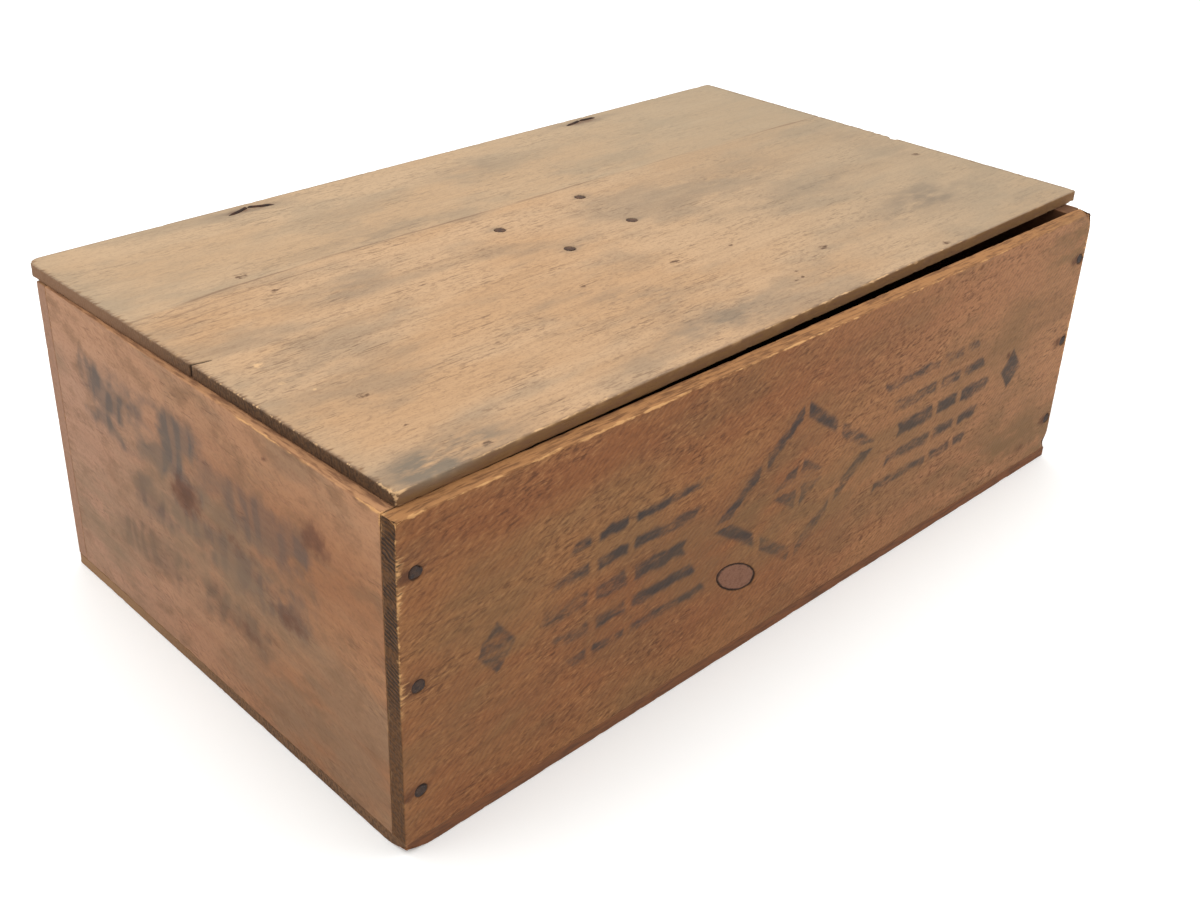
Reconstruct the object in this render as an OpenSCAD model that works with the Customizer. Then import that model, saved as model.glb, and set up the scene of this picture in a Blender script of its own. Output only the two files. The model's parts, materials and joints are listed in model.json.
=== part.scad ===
// Box of nailed pine boards with a lid hung on two wire hinges.
// The origin is the middle of the underside. +X runs to the right along the front,
// +Y runs to the hinged back and +Z runs up. Sizes are in millimetres.

/* [Case] */
// Length of the case along its front
case_l = 392; // [300:1:500]
// Depth of the case from front to back
case_w = 220; // [170:1:320]
// Height of the case without its lid
case_h = 127; // [90:1:200]
// Thickness of the front and back boards
side_t = 7; // [5:0.5:12]
// Thickness of the end boards
end_t = 11; // [8:0.5:16]
// Thickness of the bottom board
bottom_t = 5; // [4:0.5:10]
// How far the bottom board stands out past the left end
bottom_past = 0; // [0:0.5:4]

/* [Lid] */
// Thickness of the lid board
lid_t = 5; // [4:0.2:10]
// How much longer the lid is than the case
lid_longer = 2; // [0:0.5:6]
// How much wider the lid is than the case
lid_wider = 3; // [0:0.5:6]
// How far the middle of the lid lies to the right of the middle of the case
lid_right = 1.6; // [0:0.2:4]
// Turn of the lid on the case in degrees, because the right hinge stands out further
lid_turn = 1.1; // [0:0.1:2]

/* [Hinges] */
// Diameter of the hinge wire
wire_d = 1.8; // [1.4:0.1:2.2]
// Distance of the left hinge from the left end
hinge_left = 95; // [50:1:130]
// Distance of the right hinge from the right end
hinge_right = 102; // [50:1:130]
// How much further the hinges lie in from the lid's back edge than their eyes need
hinge_in = 0.9; // [0.5:0.1:3]
// Length of each leg clenched on top of the lid
lid_clench_l = 12; // [8:0.5:18]
// Turn of the lid legs towards the front
lid_clench_turn = 8; // [0:1:20]
// Length of each leg clenched inside the back board
back_clench_l = 10; // [6:0.5:16]
// How far a clenched leg stands out of the wood
wire_proud = 0.5; // [0.2:0.1:0.7]

/* [Nails] */
// Diameter of the nails at the corners
nail_d = 2.4; // [1.6:0.1:3]
// Diameter of their heads
nail_head_d = 5.8; // [4:0.2:7]
// Length of the nails at the corners
nail_l = 30; // [22:1:45]
// Nails at each corner
nail_count = 3; // [2:1:5]
// Height of the lowest nail at a left corner
nail_low = 24; // [24:1:32]
// Distance of the highest nail at a left corner from the top of the case
nail_high = 20; // [14:1:30]
// Distance of the nails at the left corners from the left end
nail_in_left = 7; // [4:0.5:8]
// Distance of the nails at the right corners from the right end
nail_in_right = 3.5; // [3.5:0.5:8]
// How much lower the nails at the right corners are
nail_right_drop = 2; // [0:0.5:2]
// Diameter of the nails in the bottom
floor_nail_d = 1.8; // [1.4:0.1:2.4]
// Diameter of their heads
floor_nail_head_d = 4.6; // [3.6:0.2:5]
// Length of the nails in the bottom
floor_nail_l = 19; // [15:0.5:19]
// Nails along each long edge of the bottom
floor_side_count = 5; // [3:1:8]
// Nails along each short edge of the bottom
floor_end_count = 3; // [2:1:4]
// Distance of the outer nails in a long edge from the ends
floor_side_in = 32; // [25:1:50]
// Distance of the outer nails in a short edge from the sides
floor_end_in = 48; // [46:1:60]
// Diameter of the tacks in the lid
tack_d = 1.6; // [1.2:0.1:2]
// Diameter of the tack heads
tack_head_d = 5; // [4:0.2:6]
// Wood of the lid left below a tack
tack_skin = 1; // [0.6:0.1:1.5]
// How far nail heads lie below the wood
nail_sink = 0.3; // [0.1:0.1:0.6]

/* [Knot] */
// Distance of the knot from the left end
knot_x = 157; // [60:1:180]
// Height of the knot
knot_z = 36; // [34:1:60]
// Length of the knot
knot_l = 24.6; // [14:0.2:28]
// Width of the knot
knot_w = 10.8; // [8:0.2:14]
// Slope of the knot, down to the right
knot_turn = 28; // [0:1:45]

/* [Hidden] */
$fn = 48;
// Clearance between wood and the iron or knot set into it
fit = 0.05;
// Extra reach of a cut past the face that it opens
over = 1;
// Play of a hinge eye round the staple that it turns on
eye_play = 0.3;
// Gap between a hinge eye and the wood, and between an eye and the staple legs
eye_gap = 0.4;
// Gap between the lid's back edge and the back board when the lid is folded right back
fold_gap = 0.3;
// Thickness of a nail head
head_t = 1.1;
// Length of a nail's point for each millimetre of its diameter, and its blunt end
point_slope = 1.2;
point_d = 0.5;
// Length and blunt end of a hinge leg's point
leg_point_l = 3;
leg_point_d = 0.6;
// Tacks as distances to the right of and behind the middle of the lid
tack_places = [[-38.4, 21.2], [14.8, 28.3], [-30.4, -11.7], [11.9, -5.7]];
// Corners in the outline of the knot
knot_corners = 40;

// Size of the lid, and its left end as a distance along the hinge axis from the middle of the case
lid_l = case_l + lid_longer;
lid_w = case_w + lid_wider;
lid_u0 = lid_right - lid_l / 2;

// Hinge axis, below the lid by the room that an eye needs and in from the lid's back edge.
// It lies out of square with the case, just far enough out for the folded lid to clear the back board.
eye_r = wire_d + eye_play;
eye_room = eye_r + wire_d / 2 + eye_gap;
axis_in = eye_room + hinge_in;
axis_z = case_h - eye_room;
axis_y = case_w / 2 + axis_out(0);
// Two legs of wire pressed together make the shank of an eye
shank_d = 1.45 * wire_d;
staple_step = 2 * wire_d + 2 * eye_gap;
left_hinge_u = -case_l / 2 + hinge_left;
right_hinge_u = case_l / 2 - hinge_right;

wall_h = case_h - bottom_t;
corner_nail_z = [for (k = spread(1, nail_count)) mid(nail_low, case_h - nail_high, k)];

// Count places spread evenly from -half to half
function spread(half, count) = [for (i = [0 : count - 1]) half * (2 * i / (count - 1) - 1)];

// Place between a and b for k from -1 to 1
function mid(a, b, k) = (a + b) / 2 + k * (b - a) / 2;

// Distance of the hinge axis from the back board at a place along the axis
function axis_out(u) = fold_gap + axis_in + (u - lid_u0) * sin(lid_turn);

// Places things given along the hinge axis, back from it and up
module hung() {
  translate([0, axis_y, 0]) rotate([0, 0, lid_turn]) children();
}

// Nail with its head's face at z = 0 and its point below, or the cut that takes it
module nail(d, head_d, length, grow = 0) {
  open = grow > 0 ? nail_sink + over : 0;
  point_l = point_slope * d;
  translate([0, 0, -head_t - grow]) cylinder(d = head_d + 2 * grow, h = head_t + grow + open);
  translate([0, 0, point_l - length]) cylinder(d = d + 2 * grow, h = length - point_l - head_t / 2);
  translate([0, 0, -length - grow])
    cylinder(d1 = point_d + 2 * grow, d2 = d + 2 * grow, h = point_l + grow);
}

// Column of nails at one corner, through a long board into the end board
module corner_nails(sx, sy, grow = 0) {
  in = sx < 0 ? nail_in_left : nail_in_right;
  drop = sx < 0 ? 0 : nail_right_drop;
  for (z = corner_nail_z)
    translate([sx * (case_l / 2 - in), sy * (case_w / 2 - nail_sink), z - drop])
      rotate([-90 * sy, 0, 0]) nail(nail_d, nail_head_d, nail_l, grow);
}

// Nail up through the bottom board
module floor_nail(grow) {
  rotate([180, 0, 0]) nail(floor_nail_d, floor_nail_head_d, floor_nail_l, grow);
}

// Row of nails up through the bottom into a long board
module floor_side_nails(sy, grow = 0) {
  for (x = spread(case_l / 2 - floor_side_in, floor_side_count))
    translate([x, sy * (case_w - side_t) / 2, nail_sink]) floor_nail(grow);
}

// Row of nails up through the bottom into an end board
module floor_end_nails(sx, grow = 0) {
  for (y = spread(case_w / 2 - floor_end_in, floor_end_count))
    translate([sx * (case_l - end_t) / 2, y, nail_sink]) floor_nail(grow);
}

// Tacks driven into the lid
module tacks(grow = 0) {
  for (p = tack_places)
    hung()
      translate([lid_right + p[0], axis_in - lid_w / 2 + p[1], case_h + lid_t - nail_sink])
        nail(tack_d, tack_head_d, lid_t - tack_skin - nail_sink, grow);
}

// Straight wire leg along +Z with a blunt point
module leg(length, grow) {
  cylinder(d = wire_d + 2 * grow, h = length - leg_point_l);
  translate([0, 0, length - leg_point_l])
    cylinder(d1 = wire_d + 2 * grow, d2 = leg_point_d + 2 * grow, h = leg_point_l + grow);
}

// Wire staple whose crown is the pivot, its legs through the back board and clenched inside
module staple(hinge_u, grow = 0) {
  reach = axis_out(hinge_u) + side_t + wire_proud - wire_d / 2;
  hung() {
    translate([hinge_u - staple_step / 2, 0, axis_z])
      rotate([0, 90, 0]) cylinder(d = wire_d + 2 * grow, h = staple_step);
    for (s = [-1, 1])
      translate([hinge_u + s * staple_step / 2, 0, axis_z]) {
        sphere(d = wire_d + 2 * grow);
        rotate([90, 0, 0]) cylinder(d = wire_d + 2 * grow, h = reach);
        translate([0, -reach, 0]) {
          sphere(d = wire_d + 2 * grow);
          rotate([0, 90 * s, 0]) leg(back_clench_l, grow);
        }
      }
  }
}

// Shank of a lid eye up through the lid, with its two legs clenched on top
module eye_legs(hinge_u, grow = 0) {
  clench_z = case_h + lid_t + wire_proud - wire_d / 2;
  hung() {
    translate([hinge_u, 0, axis_z + eye_r])
      cylinder(d = shank_d + 2 * grow, h = clench_z - axis_z - eye_r + wire_d / 4);
    for (turn = [-lid_clench_turn, 180 + lid_clench_turn])
      translate([hinge_u, 0, clench_z])
        rotate([0, 0, turn]) rotate([0, 90, 0]) leg(lid_clench_l, grow);
  }
}

// Wire eye that turns on the staple's crown
module eye(hinge_u) {
  hung()
    translate([hinge_u, 0, axis_z])
      rotate([0, 90, 0]) rotate_extrude() translate([eye_r, 0]) circle(d = wire_d);
  eye_legs(hinge_u);
}

// Oval of the knot, lying in the front board and sloping down to the right
module knot(depth, grow = 0) {
  translate([-case_l / 2 + knot_x, -case_w / 2 + side_t / 2, knot_z])
    rotate([90, 0, 0])
      linear_extrude(height = depth, center = true)
        rotate(-knot_turn)
          polygon([for (i = [0 : knot_corners - 1])
            let (a = 360 * i / knot_corners)
              [(knot_l / 2 + grow) * cos(a), (knot_w / 2 + grow) * sin(a)]]);
}

// Long board before its nails, at the front or the back
module side_blank(sy) {
  translate([-case_l / 2, sy * (case_w - side_t) / 2 - side_t / 2, bottom_t])
    cube([case_l, side_t, wall_h]);
}

// End board before its nails, between the long boards
module end_blank(sx) {
  translate([sx * (case_l - end_t) / 2 - end_t / 2, side_t - case_w / 2, bottom_t])
    cube([end_t, case_w - 2 * side_t, wall_h]);
}

// Lid before its hinges and tacks
module lid_blank() {
  hung() translate([lid_u0, axis_in - lid_w, case_h]) cube([lid_l, lid_w, lid_t]);
}

module front_board() {
  color("#8c6044") difference() {
    side_blank(-1);
    corner_nails(-1, -1, fit);
    corner_nails(1, -1, fit);
    floor_side_nails(-1, fit);
    knot(side_t + 2 * over, fit);
  }
}

module back_board() {
  color("#8c6044") difference() {
    side_blank(1);
    corner_nails(-1, 1, fit);
    corner_nails(1, 1, fit);
    floor_side_nails(1, fit);
    staple(left_hinge_u, fit);
    staple(right_hinge_u, fit);
  }
}

module left_end() {
  color("#a57a60") difference() {
    end_blank(-1);
    corner_nails(-1, -1, fit);
    corner_nails(-1, 1, fit);
    floor_end_nails(-1, fit);
  }
}

module right_end() {
  color("#a57a60") difference() {
    end_blank(1);
    corner_nails(1, -1, fit);
    corner_nails(1, 1, fit);
    floor_end_nails(1, fit);
  }
}

module bottom_board() {
  color("#94705a") difference() {
    translate([-case_l / 2 - bottom_past, -case_w / 2, 0])
      cube([case_l + bottom_past, case_w, bottom_t]);
    floor_side_nails(-1, fit);
    floor_side_nails(1, fit);
    floor_end_nails(-1, fit);
    floor_end_nails(1, fit);
  }
}

module lid_board() {
  color("#c4a07c") difference() {
    lid_blank();
    eye_legs(left_hinge_u, fit);
    eye_legs(right_hinge_u, fit);
    tacks(fit);
  }
}

module left_hinge_staple() { color("#3c322c") staple(left_hinge_u); }
module left_hinge_eye() { color("#3c322c") eye(left_hinge_u); }
module right_hinge_staple() { color("#3c322c") staple(right_hinge_u); }
module right_hinge_eye() { color("#3c322c") eye(right_hinge_u); }

module front_left_nails() { color("#46342f") corner_nails(-1, -1); }
module front_right_nails() { color("#46342f") corner_nails(1, -1); }
module back_left_nails() { color("#46342f") corner_nails(-1, 1); }
module back_right_nails() { color("#46342f") corner_nails(1, 1); }

module bottom_front_nails() { color("#46342f") floor_side_nails(-1); }
module bottom_back_nails() { color("#46342f") floor_side_nails(1); }
module bottom_left_nails() { color("#46342f") floor_end_nails(-1); }
module bottom_right_nails() { color("#46342f") floor_end_nails(1); }

module lid_tacks() { color("#5a4740") tacks(); }
module front_knot() { color("#7b5a4c") knot(side_t); }

front_board();
back_board();
left_end();
right_end();
bottom_board();
lid_board();
left_hinge_staple();
left_hinge_eye();
right_hinge_staple();
right_hinge_eye();
front_left_nails();
front_right_nails();
back_left_nails();
back_right_nails();
bottom_front_nails();
bottom_back_nails();
bottom_left_nails();
bottom_right_nails();
lid_tacks();
front_knot();
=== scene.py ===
"""Looks of a nailed pine box whose lid hangs on two wire hinges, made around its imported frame.

Lengths are millimetres in the part's own frame, and MM turns them into metres where a mesh is made.
"""

import json
import logging
import math
from dataclasses import dataclass
from enum import Enum
from typing import Any, Iterable, Optional, Sequence, Union

import bpy
import numpy as np
from mathutils import Matrix, Vector

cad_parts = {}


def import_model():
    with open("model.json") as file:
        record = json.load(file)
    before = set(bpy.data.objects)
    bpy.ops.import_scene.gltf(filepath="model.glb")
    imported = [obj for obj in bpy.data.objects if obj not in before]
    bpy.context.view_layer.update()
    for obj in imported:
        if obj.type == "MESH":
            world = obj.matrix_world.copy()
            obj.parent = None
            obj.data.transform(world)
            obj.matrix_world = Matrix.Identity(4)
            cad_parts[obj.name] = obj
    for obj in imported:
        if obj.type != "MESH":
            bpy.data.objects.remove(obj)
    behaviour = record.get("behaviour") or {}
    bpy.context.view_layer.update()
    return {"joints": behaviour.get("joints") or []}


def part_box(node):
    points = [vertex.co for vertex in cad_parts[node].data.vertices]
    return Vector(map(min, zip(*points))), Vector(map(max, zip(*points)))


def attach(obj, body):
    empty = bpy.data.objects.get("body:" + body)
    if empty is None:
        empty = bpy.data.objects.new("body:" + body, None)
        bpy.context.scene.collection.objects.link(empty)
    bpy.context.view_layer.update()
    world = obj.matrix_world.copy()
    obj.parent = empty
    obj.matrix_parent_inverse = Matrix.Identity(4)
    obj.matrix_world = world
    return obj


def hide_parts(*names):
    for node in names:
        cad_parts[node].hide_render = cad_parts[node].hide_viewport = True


LOG = logging.getLogger("pine_box")
MM = 0.001
IMAGE_WIDTH = 1200
IMAGE_HEIGHT = 916
SENSOR_MM = 36.0

Pair = tuple[float, float]
Tint = tuple[float, float, float]
Triple = tuple[float, float, float]
Number = Union["Field", float]


def tint(red: int, green: int, blue: int) -> Tint:
    """Linear colour of three screen values from 0 to 255.

    Args:
        red: Screen value of red.
        green: Screen value of green.
        blue: Screen value of blue.

    Returns:
        The colour in linear light.
    """
    screen = np.array([red, green, blue]) / 255
    linear = np.where(screen <= 0.04045, screen / 12.92, ((screen + 0.055) / 1.055) ** 2.4)
    return tuple(float(c) for c in linear)


class Grain(Enum):
    """Axes of a board: along its grain, across the grain on its broad face, and through it."""

    SIDE = (0, 2, 1)
    END = (1, 2, 0)
    FLAT = (0, 1, 2)

    def sizes(self, along: float, across: float, through: float) -> Triple:
        """Puts three sizes given in the board's own order into the order X, Y, Z.

        Args:
            along: Size along the grain.
            across: Size across the grain.
            through: Size through the board.

        Returns:
            The sizes along X, Y and Z.
        """
        placed = dict(zip(self.value, (along, across, through)))
        return placed[0], placed[1], placed[2]


class Body(Enum):
    """Moving bodies of the frame."""

    CASE = "case"
    LID = "lid"


def scramble(cells: np.ndarray, seed: int) -> np.ndarray:
    """Value from 0 to 1 for each whole-number cell: products with primes, mixed by shifts.

    Args:
        cells: Whole numbers, one row of three for each cell.
        seed: Picks another set of values.

    Returns:
        One value for each cell.
    """
    key = cells @ np.array([73856093, 19349663, 83492791]) + seed * 40503
    for shift, factor in ((13, 1274126177), (15, 668265263)):
        key = ((key ^ (key >> shift)) * factor) & 0xFFFFFFFF
    return ((key ^ (key >> 16)) & 0xFFFFFF) / 0xFFFFFF


def noise(points: np.ndarray, lengths: Sequence[float], seed: int, octaves: int = 2) -> np.ndarray:
    """Smooth noise from 0 to 1: a cell's eight corners have scrambled values, blended by smoothstep.

    Each octave has cells half as long and counts half as much as the one before.

    Args:
        points: Places, one row each.
        lengths: Length of a cell along X, Y and Z.
        seed: Picks another noise.
        octaves: Number of sizes that are added.

    Returns:
        One value for each place.
    """
    total = np.zeros(len(points))
    for octave in range(octaves):
        scaled = points * 2**octave / np.array(lengths) + 17.3 * octave
        cell = np.floor(scaled).astype(np.int64)
        part = scaled - cell
        part = part * part * (3 - 2 * part)
        for corner in np.ndindex(2, 2, 2):
            weight = np.where(corner, part, 1 - part).prod(axis=1)
            total += weight * scramble(cell + np.array(corner), seed + octave) / 2**octave
    return total / (2 - 0.5 ** (octaves - 1))


def smooth(values: np.ndarray, low: float, high: float) -> np.ndarray:
    """Smoothstep of values: 0 at low and 1 at high."""
    part = np.clip((values - low) / (high - low), 0, 1)
    return part * part * (3 - 2 * part)


@dataclass(frozen=True)
class Mark:
    """Stretch of one axis where a grid's lines stand close together."""

    axis: int
    place: float
    reach: float
    step: float


@dataclass(frozen=True)
class Blot:
    """Soft spot: it fades as a bell curve with the distance from its place, measured in its reaches."""

    place: Triple
    reach: Triple
    amount: float = 1.0

    def at(self, points: np.ndarray) -> np.ndarray:
        """Strength of the spot at each point."""
        away = (points - np.array(self.place)) / np.array(self.reach)
        return self.amount * np.exp(-(away**2).sum(axis=1))


def strongest(blots: Iterable[Blot], points: np.ndarray) -> np.ndarray:
    """Largest strength of several spots at each point, and 0 where there are none.

    Args:
        blots: The spots.
        points: Places, one row each.

    Returns:
        One strength for each place.
    """
    found = np.zeros(len(points))
    for blot in blots:
        found = np.maximum(found, blot.at(points))
    return found


def spots(axis: int, level: float, *rows: Sequence[float]) -> tuple[Blot, ...]:
    """Soft spots on one face of a board.

    Args:
        axis: The axis that the face is square to.
        level: Where the face is on that axis.
        rows: For each spot its two places on the face, its reaches along X, Y and Z, and its amount.

    Returns:
        The spots.
    """
    return tuple(Blot((*row[:axis], level, *row[axis:2]), tuple(row[2:5]), row[5]) for row in rows)


def grid_lines(low: float, high: float, step: float, marks: Iterable[Mark]) -> np.ndarray:
    """Places of grid lines from low to high, close together near the marks.

    The spacing is the least of the step and, for each mark, its fine step plus a share of the way to it.
    Lines stand where the running sum of 1 / spacing passes whole numbers.

    Args:
        low: First line.
        high: Last line.
        step: Widest spacing.
        marks: Stretches with a finer spacing.

    Returns:
        The places in rising order.
    """
    grade = 0.22
    samples = 6001
    fine = np.linspace(low, high, samples)
    spacing = np.full(fine.shape, step)
    for mark in marks:
        away = np.maximum(0, np.abs(fine - mark.place) - mark.reach)
        spacing = np.minimum(spacing, mark.step + grade * away)
    count = np.concatenate([[0], np.cumsum(np.diff(fine) / spacing[1:])])
    return np.interp(np.linspace(0, count[-1], round(count[-1]) + 1), count, fine)


def grid_quads(number: np.ndarray) -> np.ndarray:
    """Quads between the neighbours of a grid of numbered points."""
    corners = (number[:-1, :-1], number[1:, :-1], number[1:, 1:], number[:-1, 1:])
    return np.stack(corners, axis=-1).reshape(-1, 4)


def box_grid(lines: Sequence[np.ndarray]) -> tuple[np.ndarray, np.ndarray]:
    """Six two-parameter grids that make a box, welded where they meet.

    Args:
        lines: Places of the grid lines along X, Y and Z.

    Returns:
        Points on the box, and quads that face outwards.
    """
    shape = tuple(len(one) for one in lines)
    skin = np.ones(shape, bool)
    skin[1:-1, 1:-1, 1:-1] = False
    number = np.full(shape, -1)
    number[skin] = np.arange(skin.sum())
    points = np.stack([one[at] for one, at in zip(lines, np.nonzero(skin))], axis=1)
    quads = []
    for axis in range(3):
        for side in (0, -1):
            found = grid_quads(np.take(number, side, axis=axis))
            outwards = (side == -1) != (axis == 1)
            quads.append(found if outwards else found[:, ::-1])
    return points, np.concatenate(quads)


def make_mesh(
    name: str,
    points: np.ndarray,
    quads: np.ndarray,
    triangles: np.ndarray,
    attributes: dict[str, np.ndarray],
) -> bpy.types.Object:
    """Makes a smooth-shaded object from whole arrays.

    Args:
        name: Name of the object.
        points: Places in millimetres.
        quads: Faces of four points.
        triangles: Faces of three points.
        attributes: A value for each point, under each name.

    Returns:
        The object, at the origin.
    """
    mesh = bpy.data.meshes.new(name)
    mesh.vertices.add(len(points))
    mesh.vertices.foreach_set("co", (points * MM).astype(np.float32).ravel())
    corners = np.concatenate([quads.ravel(), triangles.ravel()]).astype(np.int32)
    starts = [np.arange(len(quads)) * 4, len(quads) * 4 + np.arange(len(triangles)) * 3]
    mesh.loops.add(len(corners))
    mesh.loops.foreach_set("vertex_index", corners)
    mesh.polygons.add(len(quads) + len(triangles))
    mesh.polygons.foreach_set("loop_start", np.concatenate(starts).astype(np.int32))
    mesh.update(calc_edges=True)
    mesh.validate()
    mesh.shade_smooth()
    for key, values in attributes.items():
        layer = mesh.attributes.new(key, "FLOAT", "POINT")
        layer.data.foreach_set("value", values.astype(np.float32))
    made = bpy.data.objects.new(name, mesh)
    bpy.context.scene.collection.objects.link(made)
    return made


NO_TRIANGLES = np.zeros((0, 3), int)


def round_angles(sides: int) -> np.ndarray:
    """Angles of points that stand evenly round a circle."""
    return np.linspace(0, 2 * math.pi, sides, endpoint=False)


def tube_faces(rings: int, sides: int) -> tuple[np.ndarray, np.ndarray]:
    """Faces of a tube whose rings follow each other, closed by a pole at either end.

    The points are numbered ring by ring, then the first pole, then the last one.

    Args:
        rings: Number of rings.
        sides: Points in each ring.

    Returns:
        The quads between the rings and the triangles at the poles.
    """
    number = np.arange(rings * sides).reshape(rings, sides)
    turned = np.roll(number, -1, axis=1)
    quads = np.stack([number[:-1], turned[:-1], turned[1:], number[1:]], axis=-1).reshape(-1, 4)
    first = np.full(sides, rings * sides)
    start = np.stack([turned[0], number[0], first], axis=-1)
    end = np.stack([number[-1], turned[-1], first + 1], axis=-1)
    return quads, np.concatenate([start, end])


def swept_wire(path: np.ndarray, radius: np.ndarray, sides: int) -> np.ndarray:
    """Round profile carried along a path: path + radius * (cos(a) * side + sin(a) * up).

    Side and up stand square to the path, and come from one slanting direction that no stretch follows.

    Args:
        path: Points of the middle line.
        radius: Radius at each point.
        sides: Points round the profile.

    Returns:
        Points ring by ring, then the two ends of the middle line.
    """
    slant = np.array([0.60, 0.55, 0.58])
    ahead = np.gradient(path, axis=0)
    ahead /= np.linalg.norm(ahead, axis=1, keepdims=True)
    side = np.cross(ahead, slant)
    side /= np.linalg.norm(side, axis=1, keepdims=True)
    up = np.cross(ahead, side)
    angle = round_angles(sides)[None, :, None]
    ring = np.cos(angle) * side[:, None] + np.sin(angle) * up[:, None]
    points = path[:, None] + radius[:, None, None] * ring
    return np.concatenate([points.reshape(-1, 3), path[:1], path[-1:]])


def rounded_path(corners: Sequence[Sequence[float]], bend: float, step: float) -> np.ndarray:
    """Path through corners whose turns are curves of two control arms, each one bend long.

    A turn at c from a towards b is (1-t)^2 * (c-arm) + 2t(1-t) * c + t^2 * (c+arm).

    Args:
        corners: Ends and corners of the path.
        bend: Length of the arms at a corner.
        step: Distance between the points that are returned.

    Returns:
        Points spaced evenly along the path.
    """
    turn_points = 9
    given = np.array(corners, float)
    part = np.linspace(0, 1, turn_points)[:, None]
    pieces = [given[:1]]
    for before, here, after in zip(given[:-2], given[1:-1], given[2:]):
        start = here + (before - here) * min(0.5, bend / np.linalg.norm(before - here))
        end = here + (after - here) * min(0.5, bend / np.linalg.norm(after - here))
        pieces.append((1 - part) ** 2 * start + 2 * part * (1 - part) * here + part**2 * end)
    points = np.concatenate([*pieces, given[-1:]])
    gaps = np.linalg.norm(np.diff(points, axis=0), axis=1)
    points = points[np.concatenate([[True], gaps > 1e-6])]
    far = np.concatenate([[0], np.cumsum(np.linalg.norm(np.diff(points, axis=0), axis=1))])
    even = np.linspace(0, far[-1], max(2, round(far[-1] / step)))
    return np.stack([np.interp(even, far, points[:, axis]) for axis in range(3)], axis=1)


class Field:
    """Shader value at every point of a surface. Operators on it add Math nodes to its tree."""

    def __init__(self, tree: "Tree", socket: bpy.types.NodeSocket) -> None:
        """Wraps one output socket of a tree."""
        self.tree = tree
        self.socket = socket

    def __add__(self, other: Number) -> "Field":
        """Sum."""
        return self.tree.math("ADD", self, other)

    __radd__ = __add__

    def __sub__(self, other: Number) -> "Field":
        """Difference."""
        return self.tree.math("SUBTRACT", self, other)

    def __rsub__(self, other: Number) -> "Field":
        """Difference from a number."""
        return self.tree.math("SUBTRACT", other, self)

    def __mul__(self, other: Number) -> "Field":
        """Product."""
        return self.tree.math("MULTIPLY", self, other)

    __rmul__ = __mul__

    def __truediv__(self, other: Number) -> "Field":
        """Quotient."""
        return self.tree.math("DIVIDE", self, other)

    def __abs__(self) -> "Field":
        """Size without sign."""
        return self.tree.math("ABSOLUTE", self)

    def at_most(self, other: Number) -> "Field":
        """Smaller of two values."""
        return self.tree.math("MINIMUM", self, other)

    def at_least(self, other: Number) -> "Field":
        """Larger of two values."""
        return self.tree.math("MAXIMUM", self, other)

    def sine(self) -> "Field":
        """Sine of a value in turns."""
        return self.tree.math("SINE", self * (2 * math.pi))

    def above(self, low: float, high: float) -> "Field":
        """Smoothstep: 0 below low and 1 above high."""
        settings = {"interpolation_type": "SMOOTHSTEP", "clamp": True}
        return self.tree.node("ShaderNodeMapRange", settings, {0: self, 1: low, 2: high})

    def below(self, low: float, high: float) -> "Field":
        """Smoothstep turned round: 1 below low and 0 above high."""
        return 1 - self.above(low, high)


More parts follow.
